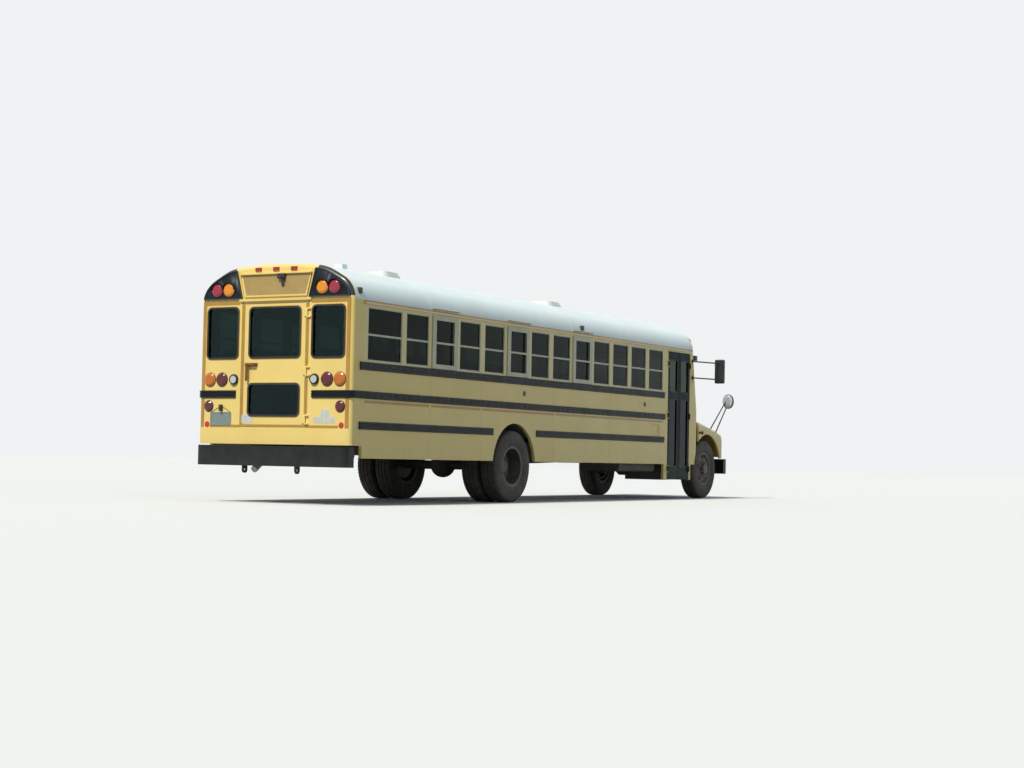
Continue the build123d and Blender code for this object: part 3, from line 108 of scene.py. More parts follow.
def round_plate(half_a, half_b, radius, depth, inset=0.0, segments=6):
    """A plate with round corners, or its rim if inset is given, lying on z = 0 and standing up by depth."""
    part = bmesh.new()
    bmesh.ops.create_grid(part, x_segments=1, y_segments=1, size=1,
                          matrix=Matrix.Diagonal((half_a, half_b, 1, 1)))
    bmesh.ops.bevel(part, geom=part.verts[:], offset=radius, affect="VERTICES", segments=segments, profile=0.5,
                    material=-1)
    if inset:
        ring = bmesh.ops.inset_region(part, faces=part.faces[:], thickness=inset, use_boundary=True, use_even_offset=True)["faces"]
        bmesh.ops.delete(part, geom=[f for f in part.faces if f not in ring], context="FACES")
    raised = bmesh.ops.extrude_face_region(part, geom=part.faces[:])["geom"]
    bmesh.ops.translate(part, vec=(0, 0, depth), verts=[v for v in raised if isinstance(v, bmesh.types.BMVert)])
    bmesh.ops.recalc_face_normals(part, faces=part.faces[:])
    return part


def facing(x, y, z, way):
    """Matrix that lays a plate made on z = 0 at a place, with its top towards way and its first side level."""
    normal = Vector(way).normalized()
    across = Vector((0, 0, 1)).cross(normal).normalized() if abs(normal.z) < 0.9 else Vector((1, 0, 0))
    up = normal.cross(across)
    turn = Matrix((across, up, normal)).transposed().to_4x4()
    return Matrix.Translation((x, y, z)) @ turn


def placed(part, place):
    bmesh.ops.transform(part, matrix=place, verts=part.verts[:])
    return part


def make_piece(name, bm, material, body="bus", smooth=0.0):
    """An object from bm with one material, riding on a body. smooth is the angle in degrees below which edges are soft."""
    mesh = bpy.data.meshes.new(name)
    bm.to_mesh(mesh)
    bm.free()
    mesh.materials.append(material)
    if smooth:
        mesh.shade_smooth()
        mesh.set_sharp_from_angle(angle=math.radians(smooth))
    piece = bpy.data.objects.new(name, mesh)
    bpy.context.collection.objects.link(piece)
    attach(piece, body)
    return piece


# Shader node groups

def new_group(name, inputs, outputs):
    group = bpy.data.node_groups.new(name, "ShaderNodeTree")
    for label, kind, value in inputs:
        socket = group.interface.new_socket(name=label, in_out="INPUT", socket_type=kind)
        if value is not None:
            socket.default_value = value
    for label, kind in outputs:
        group.interface.new_socket(name=label, in_out="OUTPUT", socket_type=kind)
    return group, group.nodes.new("NodeGroupInput"), group.nodes.new("NodeGroupOutput")


COLOR, FLOAT, VECTOR = "NodeSocketColor", "NodeSocketFloat", "NodeSocketVector"


def noise_node(tree, coordinates, scale, detail=4.0, roughness=0.55):
    node = tree.nodes.new("ShaderNodeTexNoise")
    node.inputs["Detail"].default_value = detail
    node.inputs["Roughness"].default_value = roughness
    if isinstance(scale, (int, float)):
        node.inputs["Scale"].default_value = scale
    else:
        tree.links.new(scale, node.inputs["Scale"])
    tree.links.new(coordinates, node.inputs["Vector"])
    return node.outputs["Fac"]


def ranged(tree, value, from_low, from_high, to_low, to_high):
    node = tree.nodes.new("ShaderNodeMapRange")
    for label, item in (("Value", value), ("From Min", from_low), ("From Max", from_high), ("To Min", to_low),
                        ("To Max", to_high)):
        if isinstance(item, (int, float)):
            node.inputs[label].default_value = item
        else:
            tree.links.new(item, node.inputs[label])
    return node.outputs["Result"]


def mixed(tree, factor, a, b, blend="MIX"):
    node = tree.nodes.new("ShaderNodeMix")
    node.data_type = "RGBA"
    node.blend_type = blend
    for index, item in ((0, factor), (6, a), (7, b)):
        if isinstance(item, (int, float, tuple)):
            node.inputs[index].default_value = item
        else:
            tree.links.new(item, node.inputs[index])
    return node.outputs[2]


def calculated(tree, operation, a, b=0.0):
    node = tree.nodes.new("ShaderNodeMath")
    node.operation = operation
    for index, item in ((0, a), (1, b)):
        if isinstance(item, (int, float)):
            node.inputs[index].default_value = item
        else:
            tree.links.new(item, node.inputs[index])
    return node.outputs[0]


def make_weathering():
    """Patches of uneven colour, streaks down the sides and road dust that thins out upwards."""
    group, given, out = new_group("weathering", [
        ("Color", COLOR, None), ("Patch Color", COLOR, None), ("Patch Scale", FLOAT, 2.0),
        ("Patch Amount", FLOAT, 0.3), ("Dust Color", COLOR, (0.30, 0.26, 0.20, 1)), ("Dust Top", FLOAT, 0.9),
        ("Dust Amount", FLOAT, 0.4), ("Smooth", FLOAT, 0.3), ("Rough", FLOAT, 0.5)],
        [("Color", COLOR), ("Roughness", FLOAT)])
    place = group.nodes.new("ShaderNodeTexCoord").outputs["Object"]
    patches = noise_node(group, place, given.outputs["Patch Scale"], 6.0, 0.6)
    patches = ranged(group, patches, 0.35, 0.7, 0.0, 1.0)
    stretch = group.nodes.new("ShaderNodeMapping")
    stretch.inputs["Scale"].default_value = (9.0, 9.0, 0.7)
    group.links.new(place, stretch.inputs["Vector"])
    streaks = ranged(group, noise_node(group, stretch.outputs[0], 1.0, 5.0, 0.6), 0.5, 0.8, 0.0, 0.45)
    amount = calculated(group, "MULTIPLY", calculated(group, "MAXIMUM", patches, streaks),
                        given.outputs["Patch Amount"])
    color = mixed(group, amount, given.outputs["Color"], given.outputs["Patch Color"])
    height = group.nodes.new("ShaderNodeSeparateXYZ")
    group.links.new(place, height.inputs[0])
    rise = ranged(group, height.outputs["Z"], given.outputs["Dust Top"], 0.25, 0.0, 1.0)
    clumps = ranged(group, noise_node(group, place, 7.0, 8.0, 0.65), 0.3, 0.75, 0.25, 1.0)
    dust = calculated(group, "MULTIPLY", calculated(group, "MULTIPLY", rise, clumps), given.outputs["Dust Amount"])
    color = mixed(group, dust, color, given.outputs["Dust Color"])
    group.links.new(color, out.inputs["Color"])
    shine = ranged(group, noise_node(group, place, 3.1, 6.0, 0.6), 0.3, 0.7, given.outputs["Smooth"],
                   given.outputs["Rough"])
    shine = calculated(group, "ADD", shine, calculated(group, "MULTIPLY", dust, 0.4))
    group.links.new(shine, out.inputs["Roughness"])
    return group


def make_fine_grain():
    """A faint uneven surface, such as orange peel in paint or moulded grain."""
    group, given, out = new_group("fine_grain", [("Scale", FLOAT, 300.0), ("Strength", FLOAT, 0.1),
                                                 ("Height", FLOAT, 0.0005)], [("Normal", VECTOR)])
    place = group.nodes.new("ShaderNodeTexCoord").outputs["Object"]
    bump = group.nodes.new("ShaderNodeBump")
    group.links.new(noise_node(group, place, given.outputs["Scale"], 3.0, 0.5), bump.inputs["Height"])
    group.links.new(given.outputs["Strength"], bump.inputs["Strength"])
    group.links.new(given.outputs["Height"], bump.inputs["Distance"])
    group.links.new(bump.outputs["Normal"], out.inputs["Normal"])
    return group


weathering = make_weathering()
fine_grain = make_fine_grain()


def linear(red, green, blue):
    """Linear colour from 0 to 255 display values."""
    return tuple((c / 255 / 12.92) if c <= 10 else ((c / 255 + 0.055) / 1.055) ** 2.4
                 for c in (red, green, blue)) + (1.0,)


def make_finish(name, color, patch, patch_scale=2.0, patch_amount=0.3, smooth=0.3, rough=0.45, metallic=0.0,
                coat=0.0, dust=0.35, dust_top=1.0, grain=220.0, grain_strength=0.12, grain_height=0.0006,
                specular=0.5):
    """A finish from the shared weathering and grain groups."""
    material = bpy.data.materials.new(name)
    material.use_nodes = True
    tree = material.node_tree
    shader = tree.nodes["Principled BSDF"]
    shader.inputs["Metallic"].default_value = metallic
    shader.inputs["Specular IOR Level"].default_value = specular
    shader.inputs["Coat Weight"].default_value = coat
    shader.inputs["Coat Roughness"].default_value = 0.12
    worn = tree.nodes.new("ShaderNodeGroup")
    worn.node_tree = weathering
    for label, value in (("Color", color), ("Patch Color", patch), ("Patch Scale", patch_scale),
                         ("Patch Amount", patch_amount), ("Dust Amount", dust), ("Dust Top", dust_top),
                         ("Smooth", smooth), ("Rough", rough)):
        worn.inputs[label].default_value = value
    tree.links.new(worn.outputs["Color"], shader.inputs["Base Color"])
    tree.links.new(worn.outputs["Roughness"], shader.inputs["Roughness"])
    surface = tree.nodes.new("ShaderNodeGroup")
    surface.node_tree = fine_grain
    for label, value in (("Scale", grain), ("Strength", grain_strength), ("Height", grain_height)):
        surface.inputs[label].default_value = value
    tree.links.new(surface.outputs["Normal"], shader.inputs["Normal"])
    return material


YELLOW = linear(251, 221, 131)
YELLOW_WORN = linear(232, 196, 106)
YELLOW_SHADED = linear(182, 132, 60)
RAIL_PAINTED_HIGHLIGHT = linear(250, 230, 176)
WHITE = linear(236, 250, 249)
WHITE_WORN = linear(218, 230, 228)
BLACK = linear(14, 22, 27)
BLACK_WORN = linear(36, 42, 50)

yellow_paint = make_finish("yellow_paint", YELLOW, YELLOW_WORN, 1.3, 0.4, 0.3, 0.45, coat=0.25, dust=0.3)
rear_wall_paint = make_finish("rear_wall_paint", YELLOW, YELLOW_WORN, 1.3, 0.4, 0.3, 0.45, coat=0.25, dust=0.3)
post_paint = make_finish("window_post_paint", linear(246, 226, 160), linear(230, 206, 138), 1.3, 0.4, 0.3, 0.45,
                         coat=0.25, dust=0.3)
roof_paint = make_finish("roof_paint", WHITE, WHITE_WORN, 1.7, 0.5, 0.3, 0.5, coat=0.3, dust=0.0)
white_paint = make_finish("white_paint", WHITE, WHITE_WORN, 1.7, 0.5, 0.3, 0.5, coat=0.3, dust=0.0)
black_paint = make_finish("black_paint", BLACK, BLACK_WORN, 3.0, 0.4, 0.34, 0.5, dust=0.15, specular=0.22)
# The entrance leaves are dark paint whose teal tint is a painted reflection
door_paint_with_painted_reflection = make_finish("entrance_door_paint", linear(26, 46, 48), linear(38, 56, 58), 3.0, 0.4, 0.34, 0.5,
                         dust=0.1, specular=0.05)
chassis_paint = make_finish("chassis_paint", linear(34, 34, 35), linear(70, 60, 50), 5.0, 0.6, 0.5, 0.8, dust=0.7,
                            dust_top=1.3, grain=90.0, grain_strength=0.3, grain_height=0.001)
rim_paint = make_finish("rim_paint", linear(46, 46, 48), linear(80, 74, 66), 9.0, 0.5, 0.35, 0.6, dust=0.5,
                        dust_top=1.1)
frame_metal = make_finish("window_frame_metal", linear(170, 172, 150), linear(140, 142, 124), 6.0, 0.5, 0.28, 0.45,
                          metallic=0.35, dust=0.1, grain=500.0, grain_strength=0.08)
bare_steel = make_finish("bare_steel", linear(150, 150, 148), linear(112, 98, 84), 12.0, 0.6, 0.3, 0.55,
                         metallic=0.85, dust=0.4, grain=400.0, grain_strength=0.1)
rubber = make_finish("black_rubber", linear(25, 25, 26), linear(58, 56, 52), 8.0, 0.5, 0.6, 0.85, dust=0.4,
                     grain=600.0, grain_strength=0.3)
tyre_rubber = make_finish("tyre_rubber", linear(33, 33, 34), linear(78, 73, 66), 6.0, 0.6, 0.65, 0.9, dust=0.55,
                          dust_top=1.1, grain=450.0, grain_strength=0.35)
dark_plastic = make_finish("dark_plastic", linear(36, 37, 40), linear(66, 66, 66), 10.0, 0.35, 0.4, 0.6, dust=0.1,
                           grain=900.0, grain_strength=0.4)
floor_cover = make_finish("floor_cover", linear(48, 48, 49), linear(92, 88, 80), 4.0, 0.6, 0.55, 0.85, dust=0.3,
                          dust_top=1.4, grain=260.0, grain_strength=0.5)
stop_red = make_finish("stop_arm_red", linear(176, 22, 26), linear(130, 26, 28), 5.0, 0.4, 0.3, 0.5, coat=0.2,
                       dust=0.2)
plate_white = make_finish("plate_white", linear(214, 216, 212), linear(176, 178, 170), 14.0, 0.5, 0.35, 0.5)
seat_vinyl = make_finish("seat_vinyl", linear(70, 84, 74), linear(46, 58, 52), 7.0, 0.5, 0.38, 0.6, dust=0.0,
                         grain=700.0, grain_strength=0.5, grain_height=0.0008)


def add_zone(material, limits, color, softness=0.002):
    """Paints another colour where all limits hold. A limit is an axis, an edge on it, and 1 above it or -1 below."""
    tree = material.node_tree
    shader = tree.nodes["Principled BSDF"]
    place = tree.nodes.new("ShaderNodeTexCoord").outputs["Object"]
    split = tree.nodes.new("ShaderNodeSeparateXYZ")
    tree.links.new(place, split.inputs[0])
    inside = 1.0
    for axis, edge, way in limits:
        beyond = ranged(tree, split.outputs[axis], edge - way * softness, edge + way * softness, 0.0, 1.0)
        inside = calculated(tree, "MULTIPLY", beyond, inside)
    painted = shader.inputs["Base Color"].links[0].from_socket
    tree.links.new(mixed(tree, inside, painted, color), shader.inputs["Base Color"])


# The roof's foot, from the side walls' top: drip rail, a band painted in shade above it, then the white
RAIL_TOP_Z, WHITE_EDGE_Z = 2.596, 2.618
REAR_LIP = 0.065
add_zone(roof_paint, [("Z", WHITE_EDGE_Z, -1)], YELLOW_SHADED)
add_zone(roof_paint, [("Z", RAIL_TOP_Z, -1)], YELLOW)
# Beyond the side walls the rail and the visors are painted in shade, and the rail's outer face carries a painted
# highlight
for hand in (-1, 1):
    add_zone(roof_paint, [("Y", hand * (half_width + 0.003), hand)], YELLOW_SHADED)
    add_zone(roof_paint, [("Y", hand * (half_width + 0.018), hand), ("Z", RAIL_TOP_Z, -1)], RAIL_PAINTED_HIGHLIGHT)
add_zone(rear_wall_paint, [("Z", WHITE_EDGE_Z, 1), ("X", back(REAR_LIP), 1)], WHITE)
# The black of the lamp panels runs on round the rear wall's corner
BLACK_CORNER, BLACK_FOOT_Z, BLACK_INNER_Y = 0.050, 2.655, 0.656
for hand in (-1, 1):
    add_zone(rear_wall_paint, [("X", back(BLACK_CORNER), -1), ("Z", BLACK_FOOT_Z, 1),
                               ("Y", hand * BLACK_INNER_Y, hand)], BLACK)


def make_tape():
    """Gold reflective tape with its honeycomb of cells."""
    material = make_finish("gold_tape", linear(192, 146, 54), linear(160, 116, 42), 5.0, 0.5, 0.35, 0.5, coat=0.4,
                           dust=0.15)
    tree = material.node_tree
    shader = tree.nodes["Principled BSDF"]
    cells = tree.nodes.new("ShaderNodeTexVoronoi")
    cells.feature = "DISTANCE_TO_EDGE"
    cells.inputs["Scale"].default_value = 160.0
    place = tree.nodes.new("ShaderNodeTexCoord").outputs["Object"]
    tree.links.new(place, cells.inputs["Vector"])
    lines = ranged(tree, cells.outputs["Distance"], 0.0, 0.08, 0.4, 0.0)
    painted = shader.inputs["Base Color"].links[0].from_socket
    tree.links.new(mixed(tree, lines, painted, linear(136, 98, 40)), shader.inputs["Base Color"])
    return material


def make_lens(name, color, deep, rib_scale=130.0):
    """A ribbed plastic lens."""
    material = bpy.data.materials.new(name)
    material.use_nodes = True
    tree = material.node_tree
    shader = tree.nodes["Principled BSDF"]
    shader.inputs["Roughness"].default_value = 0.18
    shader.inputs["Specular IOR Level"].default_value = 0.3
    shader.inputs["Coat Weight"].default_value = 0.5
    shader.inputs["Coat Roughness"].default_value = 0.05
    place = tree.nodes.new("ShaderNodeTexCoord").outputs["Object"]
    ribs = tree.nodes.new("ShaderNodeTexVoronoi")
    ribs.inputs["Scale"].default_value = rib_scale
    ribs.inputs["Randomness"].default_value = 0.0
    tree.links.new(place, ribs.inputs["Vector"])
    shade = ranged(tree, ribs.outputs["Distance"], 0.1, 0.7, 0.0, 0.8)
    blotch = ranged(tree, noise_node(tree, place, 9.0), 0.35, 0.7, 0.0, 0.5)
    tree.links.new(mixed(tree, calculated(tree, "MAXIMUM", shade, blotch), color, deep),
                   shader.inputs["Base Color"])
    bump = tree.nodes.new("ShaderNodeBump")
    bump.inputs["Strength"].default_value = 0.6
    bump.inputs["Distance"].default_value = 0.001
    tree.links.new(ribs.outputs["Distance"], bump.inputs["Height"])
    tree.links.new(bump.outputs["Normal"], shader.inputs["Normal"])
    return material


def make_window_glass(name, light, dark, ior):
    """Dark tinted glass with faint smears."""
    material = bpy.data.materials.new(name)
    material.use_nodes = True
    tree = material.node_tree
    shader = tree.nodes["Principled BSDF"]
    shader.inputs["Transmission Weight"].default_value = 1.0
    shader.inputs["IOR"].default_value = ior
    shader.inputs["Specular Tint"].default_value = linear(190, 244, 238)
    place = tree.nodes.new("ShaderNodeTexCoord").outputs["Object"]
    haze = noise_node(tree, place, 1.9, 5.0, 0.6)
    tree.links.new(mixed(tree, ranged(tree, haze, 0.35, 0.7, 0.0, 1.0), dark, light),
                   shader.inputs["Base Color"])
    tree.links.new(ranged(tree, haze, 0.3, 0.7, 0.015, 0.07), shader.inputs["Roughness"])
    return material


gold_tape = make_tape()
sign_gold = make_finish("sign_gold", linear(186, 156, 92), linear(160, 130, 72), 7.0, 0.5, 0.35, 0.5, coat=0.3)
gasket_bead = make_finish("gasket_bead", linear(150, 118, 58), linear(110, 88, 46), 9.0, 0.5, 0.5, 0.7, dust=0.2)
handle_bronze = make_finish("handle_bronze", linear(128, 84, 30), linear(92, 60, 26), 14.0, 0.5, 0.35, 0.5,
                            dust=0.2)
plate_grey = make_finish("plate_grey", linear(134, 150, 146), linear(110, 126, 124), 22.0, 0.6, 0.4, 0.55)
red_lens = make_lens("red_lens", linear(112, 36, 38), linear(80, 24, 28))
amber_lens = make_lens("amber_lens", linear(226, 130, 26), linear(178, 88, 16))
clear_lens = make_lens("clear_lens", linear(226, 229, 226), linear(168, 172, 172))
dark_red_lens = make_lens("dark_red_lens", linear(104, 44, 40), linear(66, 30, 28))
bright_red_lens = make_lens("bright_red_lens", linear(224, 62, 44), linear(180, 40, 30))
UPPER_LAMPS_Z = 2.65        # above this height the lenses are the brighter warning lamps
add_zone(red_lens, [("Z", UPPER_LAMPS_Z, 1)], linear(170, 42, 66))
add_zone(amber_lens, [("Z", UPPER_LAMPS_Z, 1)], linear(248, 154, 36))
CLEARANCE_LAMPS_Z = 3.0     # the three small lamps over the sign panel are duller
add_zone(red_lens, [("Z", CLEARANCE_LAMPS_Z, 1)], linear(160, 52, 40))
window_glass = make_window_glass("tinted_glass", linear(76, 94, 86), linear(54, 72, 66), 1.17)
rear_glass = make_window_glass("rear_tinted_glass", linear(80, 104, 102), linear(58, 80, 80), 1.36)
door_glass = make_window_glass("entrance_door_glass", linear(120, 142, 118), linear(98, 122, 98), 1.2)
DOOR_GLASS_EDGE_Z = 1.80    # the leaves' lower panes are darker
add_zone(door_glass, [("Z", DOOR_GLASS_EDGE_Z, -1)], linear(34, 46, 50))
dark_mirror = make_finish("dark_mirror", linear(74, 88, 92), linear(52, 64, 68), 7.0, 0.5, 0.06, 0.14, metallic=0.6,
                          dust=0.0, grain_strength=0.02)
# The crossover mirrors' pale, mottled colour is a painted bright reflection
mirror_with_painted_reflection = make_finish("mirror_with_painted_reflection", linear(214, 222, 224), linear(120, 140, 132), 11.0, 0.7, 0.06, 0.14,
                          metallic=0.3, dust=0.0, grain_strength=0.02)
# Lighter grey of the lamp panel rims: a painted highlight along the ridge
panel_rim_painted_highlight = make_finish("panel_rim_painted_highlight", linear(54, 60, 66), linear(36, 42, 48), 6.0, 0.5, 0.25, 0.35,
                              dust=0.0)

NODE_FINISHES = {
    yellow_paint: ["rear_door", "fuel_door", "lower_side_panels", "front_side_panels", "front_frame", "hood",
                   "stop_arm_base"],
    post_paint: ["window_bands"],
    rear_wall_paint: ["rear_wall"],
    roof_paint: ["roof", "front_cap"],
    black_paint: ["rub_rails", "bumpers", "tow_eyes", "lamp_panels", "grille"],
    door_paint_with_painted_reflection: ["entrance_leaf_rear", "entrance_leaf_front"],
    chassis_paint: ["frame_rails", "cross_members", "engine_block", "fuel_tank", "leaf_springs", "front_axle",
                    "knuckle_left", "knuckle_right", "rear_axle"],
    rim_paint: ["rim_front_left", "rim_front_right", "rims_rear_left", "rims_rear_right"],
    frame_metal: ["window_frames"],
    bare_steel: ["exhaust", "seat_frames"],
    dark_plastic: ["mirrors", "crossover_mirrors", "dashboard", "steering_wheel"],
    floor_cover: ["floor", "wheel_housings", "step_well"],
    stop_red: ["stop_arm"],
    red_lens: ["red_lamps"],
    amber_lens: ["amber_lamps"],
    clear_lens: ["clear_lamps", "front_lamps"],
    window_glass: ["cabin_glass"],
    rear_glass: ["rear_door_glass"],
    door_glass: ["entrance_glass_rear", "entrance_glass_front"],
    seat_vinyl: ["seat_cushions", "seat_backs"],
    tyre_rubber: ["tyre_front_left", "tyre_front_right", "tyres_rear_left", "tyres_rear_right"],
}
for finish, names in NODE_FINISHES.items():
    for node in names:
        slots = nodes[node].data.materials
        slots.clear()
        slots.append(finish)
nodes["cabin_glass"].data.materials.append(rear_glass)
for face in nodes["cabin_glass"].data.polygons:
    face.material_index = int(face.center.x < back(REAR_LIP))
hatch_paint = make_finish("hatch_white", linear(226, 228, 222), linear(196, 196, 186), 5.0, 0.5, 0.35, 0.55, dust=0.0)
for node in ("hatch_lid_rear", "hatch_lid_front"):
    nodes[node].data.materials.clear()
    nodes[node].data.materials.append(hatch_paint)

# Tyres with tread blocks, one turned shape for each wheel
TYRE_RADIUS = 0.525
TYRE_STEPS = 300
GROOVE = 0.010
# Half of the tyre's outline from the bead to the middle of the tread: distance from the middle, radius
TYRE_HALF = [
    (0.104, 0.2863), (0.112, 0.297), (0.117, 0.303), (0.127, 0.322), (0.1345, 0.352), (0.1385, 0.385),
    (0.1390, 0.405), (0.1370, 0.436), (0.1340, 0.462), (0.1270, 0.488), (0.1190, 0.5065), (0.1120, 0.5160),
    (0.0980, 0.5215), (0.0640, 0.5235), (0.0620, 0.5125), (0.0520, 0.5125), (0.0500, 0.5240), (0.0120, 0.5245),
    (0.0100, 0.5130), (0.0, 0.5130)]
SHOULDER = (0.060, 0.130)
LUG_PITCH = 5


def tyre_shape(middle_x, middle_y):
    """A tyre turned about its axle, with lateral slots cut into both shoulders."""
    part = bmesh.new()
    line = TYRE_HALF + [(-out, radius) for out, radius in TYRE_HALF[-2::-1]]
    spots = [part.verts.new((0, out, radius)) for out, radius in line]
    for a, b in zip(spots, spots[1:]):
        part.edges.new((a, b))
    bmesh.ops.spin(part, geom=part.verts[:] + part.edges[:], cent=(0, 0, 0), axis=(0, 1, 0),
                   angle=math.tau, steps=TYRE_STEPS, use_merge=True)
    bmesh.ops.remove_doubles(part, verts=part.verts[:], dist=0.0001)
    for vert in part.verts:
        radius = math.hypot(vert.co.x, vert.co.z)
        turn = round(math.atan2(vert.co.z, vert.co.x) / math.tau * TYRE_STEPS)
        shift = 2 if vert.co.y > 0 else 0
        if SHOULDER[0] < abs(vert.co.y) < SHOULDER[1] and radius > 0.486 and (turn + shift) % LUG_PITCH >= 3:
            scale = (radius - GROOVE * (0.5 if radius < 0.51 else 1.0)) / radius
            vert.co.x *= scale
            vert.co.z *= scale
    bmesh.ops.recalc_face_normals(part, faces=part.faces[:])
    bmesh.ops.translate(part, vec=(middle_x, middle_y, axle_z), verts=part.verts[:])
    return part


WHEELS = [
    ("tyre_front_left", "wheel_front_left", front_axle_x, [front_wheel_y]),
    ("tyre_front_right", "wheel_front_right", front_axle_x, [-front_wheel_y]),
    ("tyres_rear_left", "wheels_rear_left", rear_axle_x,
     [rear_wheel_y - TWIN_SPACING / 2, rear_wheel_y + TWIN_SPACING / 2]),
    ("tyres_rear_right", "wheels_rear_right", rear_axle_x,
     [-rear_wheel_y - TWIN_SPACING / 2, -rear_wheel_y + TWIN_SPACING / 2]),
]
for node, body, wheel_x, middles in WHEELS:
    bm = bmesh.new()
    for middle in middles:
        absorb(bm, tyre_shape(wheel_x, middle))
    treaded = make_piece(node + "_treaded", bm, tyre_rubber, body, smooth=32)
    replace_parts(treaded, node)

# Wheel nuts and studs
NUT_COUNT = 10
NUT_CIRCLE = 0.1425
for hand, side in ((1, "left"), (-1, "right")):
    for end, wheel_x, face_y, body, circle in (
            ("front", front_axle_x, front_wheel_y + 0.104, f"wheel_front_{side}", 0.1330),
            ("rear", rear_axle_x, rear_wheel_y + 0.018, f"wheels_rear_{side}", NUT_CIRCLE)):
        bm = bmesh.new()
        for index in range(NUT_COUNT):
            turn = math.tau * (index + 0.5) / NUT_COUNT
            x, z = wheel_x + circle * math.cos(turn), axle_z + circle * math.sin(turn)
            foot, top = hand * (face_y - 0.004), hand * (face_y + 0.022)
            add_rod(bm, (x, foot, z), (x, top, z), 0.0165, 6, 0.015)
            add_rod(bm, (x, top, z), (x, hand * (face_y + 0.036), z), 0.009, 8)
        make_piece(f"wheel_nuts_{end}_{side}", bm, bare_steel, body)


# Rear wall: gaskets, tape, sign, plates and rear camera
REAR = (-1, 0, 0)
CORNER_R = 0.060           # round of the rear corners
# Gaskets of the rear panes: middle across, middle up, half width, half height, body
REAR_GASKETS = [
    (0.845, 2.206, 0.255, 0.334, "bus"), (-0.845, 2.206, 0.255, 0.334, "bus"),
    (0.0, 2.205, 0.410, 0.328, "rear_door"), (0.0, 1.334, 0.410, 0.208, "rear_door"),
]
# Rings of a gasket: reach beyond the pane, width, height above the wall, finish
GASKET_RINGS = [("rubber", 0.006, 0.022, 0.009, rubber), ("bead", 0.014, 0.009, 0.006, gasket_bead)]
for body in ("bus", "rear_door"):
    for part_name, reach, width, height, finish in GASKET_RINGS:
        bm = bmesh.new()
        for y, z, half_a, half_b, rides in REAR_GASKETS:
            if rides == body:
                rim = round_plate(half_a + reach, half_b + reach, 0.060 + reach, height, width)
                absorb(bm, placed(rim, facing(rear_x, y, z, REAR)))
        make_piece(f"rear_gasket_{part_name}_{body}", bm, finish, body, smooth=40)

TAPE_T = 0.0015
# Tape on the rear: low y, high y, low z, high z, body
REAR_TAPE = [
    (0.519, 0.540, 0.975, 2.612, "bus"), (-0.540, -0.519, 0.975, 2.612, "bus"),
    (0.578, 1.125, 2.574, 2.628, "bus"), (-1.125, -0.578, 2.574, 2.628, "bus"),
    (0.540, 1.030, 0.975, 1.009, "bus"), (-1.030, -0.540, 0.975, 1.009, "bus"),
    (0.488, 0.509, 0.990, 2.575, "rear_door"), (-0.509, -0.488, 0.990, 2.575, "rear_door"),
    (-0.488, 0.488, 0.990, 1.015, "rear_door"),
]
HINGE_SPANS = [(1.010, 1.150), (1.630, 1.770), (2.380, 2.520)]
for body in ("bus", "rear_door"):
    bm = bmesh.new()
    for y0, y1, z0, z1, rides in REAR_TAPE:
        if rides != body:
            continue
        cuts = [z0]
        if -0.55 < y0 < -0.47 and z1 - z0 > 1:
            for low, high in HINGE_SPANS:
                cuts += [low, high]
        cuts.append(z1)
        for low, high in zip(cuts[::2], cuts[1::2]):
            add_block(bm, (rear_x - TAPE_T, y0, low), (rear_x + 0.0005, y1, high))
    make_piece(f"rear_tape_{body}", bm, gold_tape, body)

# Upright tape carried round the first part of both rear corners
CORNER_TAPE = [(1.127, 0), (1.159, 0), (1.159, 8), (1.159, 16), (1.159, 24)]
bm = bmesh.new()
for hand in (-1, 1):
    part = bmesh.new()
    line = []
    for across, turn in CORNER_TAPE:
        turn = math.radians(turn)
        line.append(part.verts.new((rear_x + CORNER_R * (1 - math.cos(turn)),
                                    hand * (across + CORNER_R * math.sin(turn)), 0.975)))
    edges = [part.edges.new(pair) for pair in zip(line, line[1:])]
    raised = bmesh.ops.extrude_edge_only(part, edges=edges)["geom"]
    bmesh.ops.translate(part, vec=(0, 0, 1.653), verts=[v for v in raised if isinstance(v, bmesh.types.BMVert)])
    bmesh.ops.recalc_face_normals(part, faces=part.faces[:])
    outwards = [f for f in part.faces if f.normal.x * -1 + f.normal.y * hand < 0]
    bmesh.ops.reverse_faces(part, faces=outwards)
    bmesh.ops.solidify(part, geom=part.faces[:], thickness=-TAPE_T)
    absorb(bm, part)
make_piece("rear_corner_tape", bm, gold_tape, smooth=40)

# Tape below the middle rub rail on both sides, in lengths
SIDE_TAPE = [(0.30, 1.83), (1.88, 3.19), (3.24, 5.37), (5.42, 7.28), (7.33, 9.30)]
bm = bmesh.new()
for start, end in SIDE_TAPE:
    for hand in (-1, 1):
        y0, y1 = sorted((hand * (half_width - 0.0005), hand * (half_width + TAPE_T)))
        add_block(bm, (back(start), y0, 1.306), (back(end), y1, 1.340))
make_piece("side_tape", bm, gold_tape)


def tapered_plate(low_half, low, high_half, high, depth, inset=0.0):
    """A plate on z = 0 that widens upwards, or its rim if inset is given."""
    part = bmesh.new()
    corners = [(-low_half, low), (low_half, low), (high_half, high), (-high_half, high)]
    part.faces.new([part.verts.new((across, up, 0)) for across, up in corners])
    if inset:
        ring = bmesh.ops.inset_region(part, faces=part.faces[:], thickness=inset, use_boundary=True, use_even_offset=True)["faces"]
        bmesh.ops.delete(part, geom=[f for f in part.faces if f not in ring], context="FACES")
    raised = bmesh.ops.extrude_face_region(part, geom=part.faces[:])["geom"]
    bmesh.ops.translate(part, vec=(0, 0, depth), verts=[v for v in raised if isinstance(v, bmesh.types.BMVert)])
    bmesh.ops.recalc_face_normals(part, faces=part.faces[:])
    return part


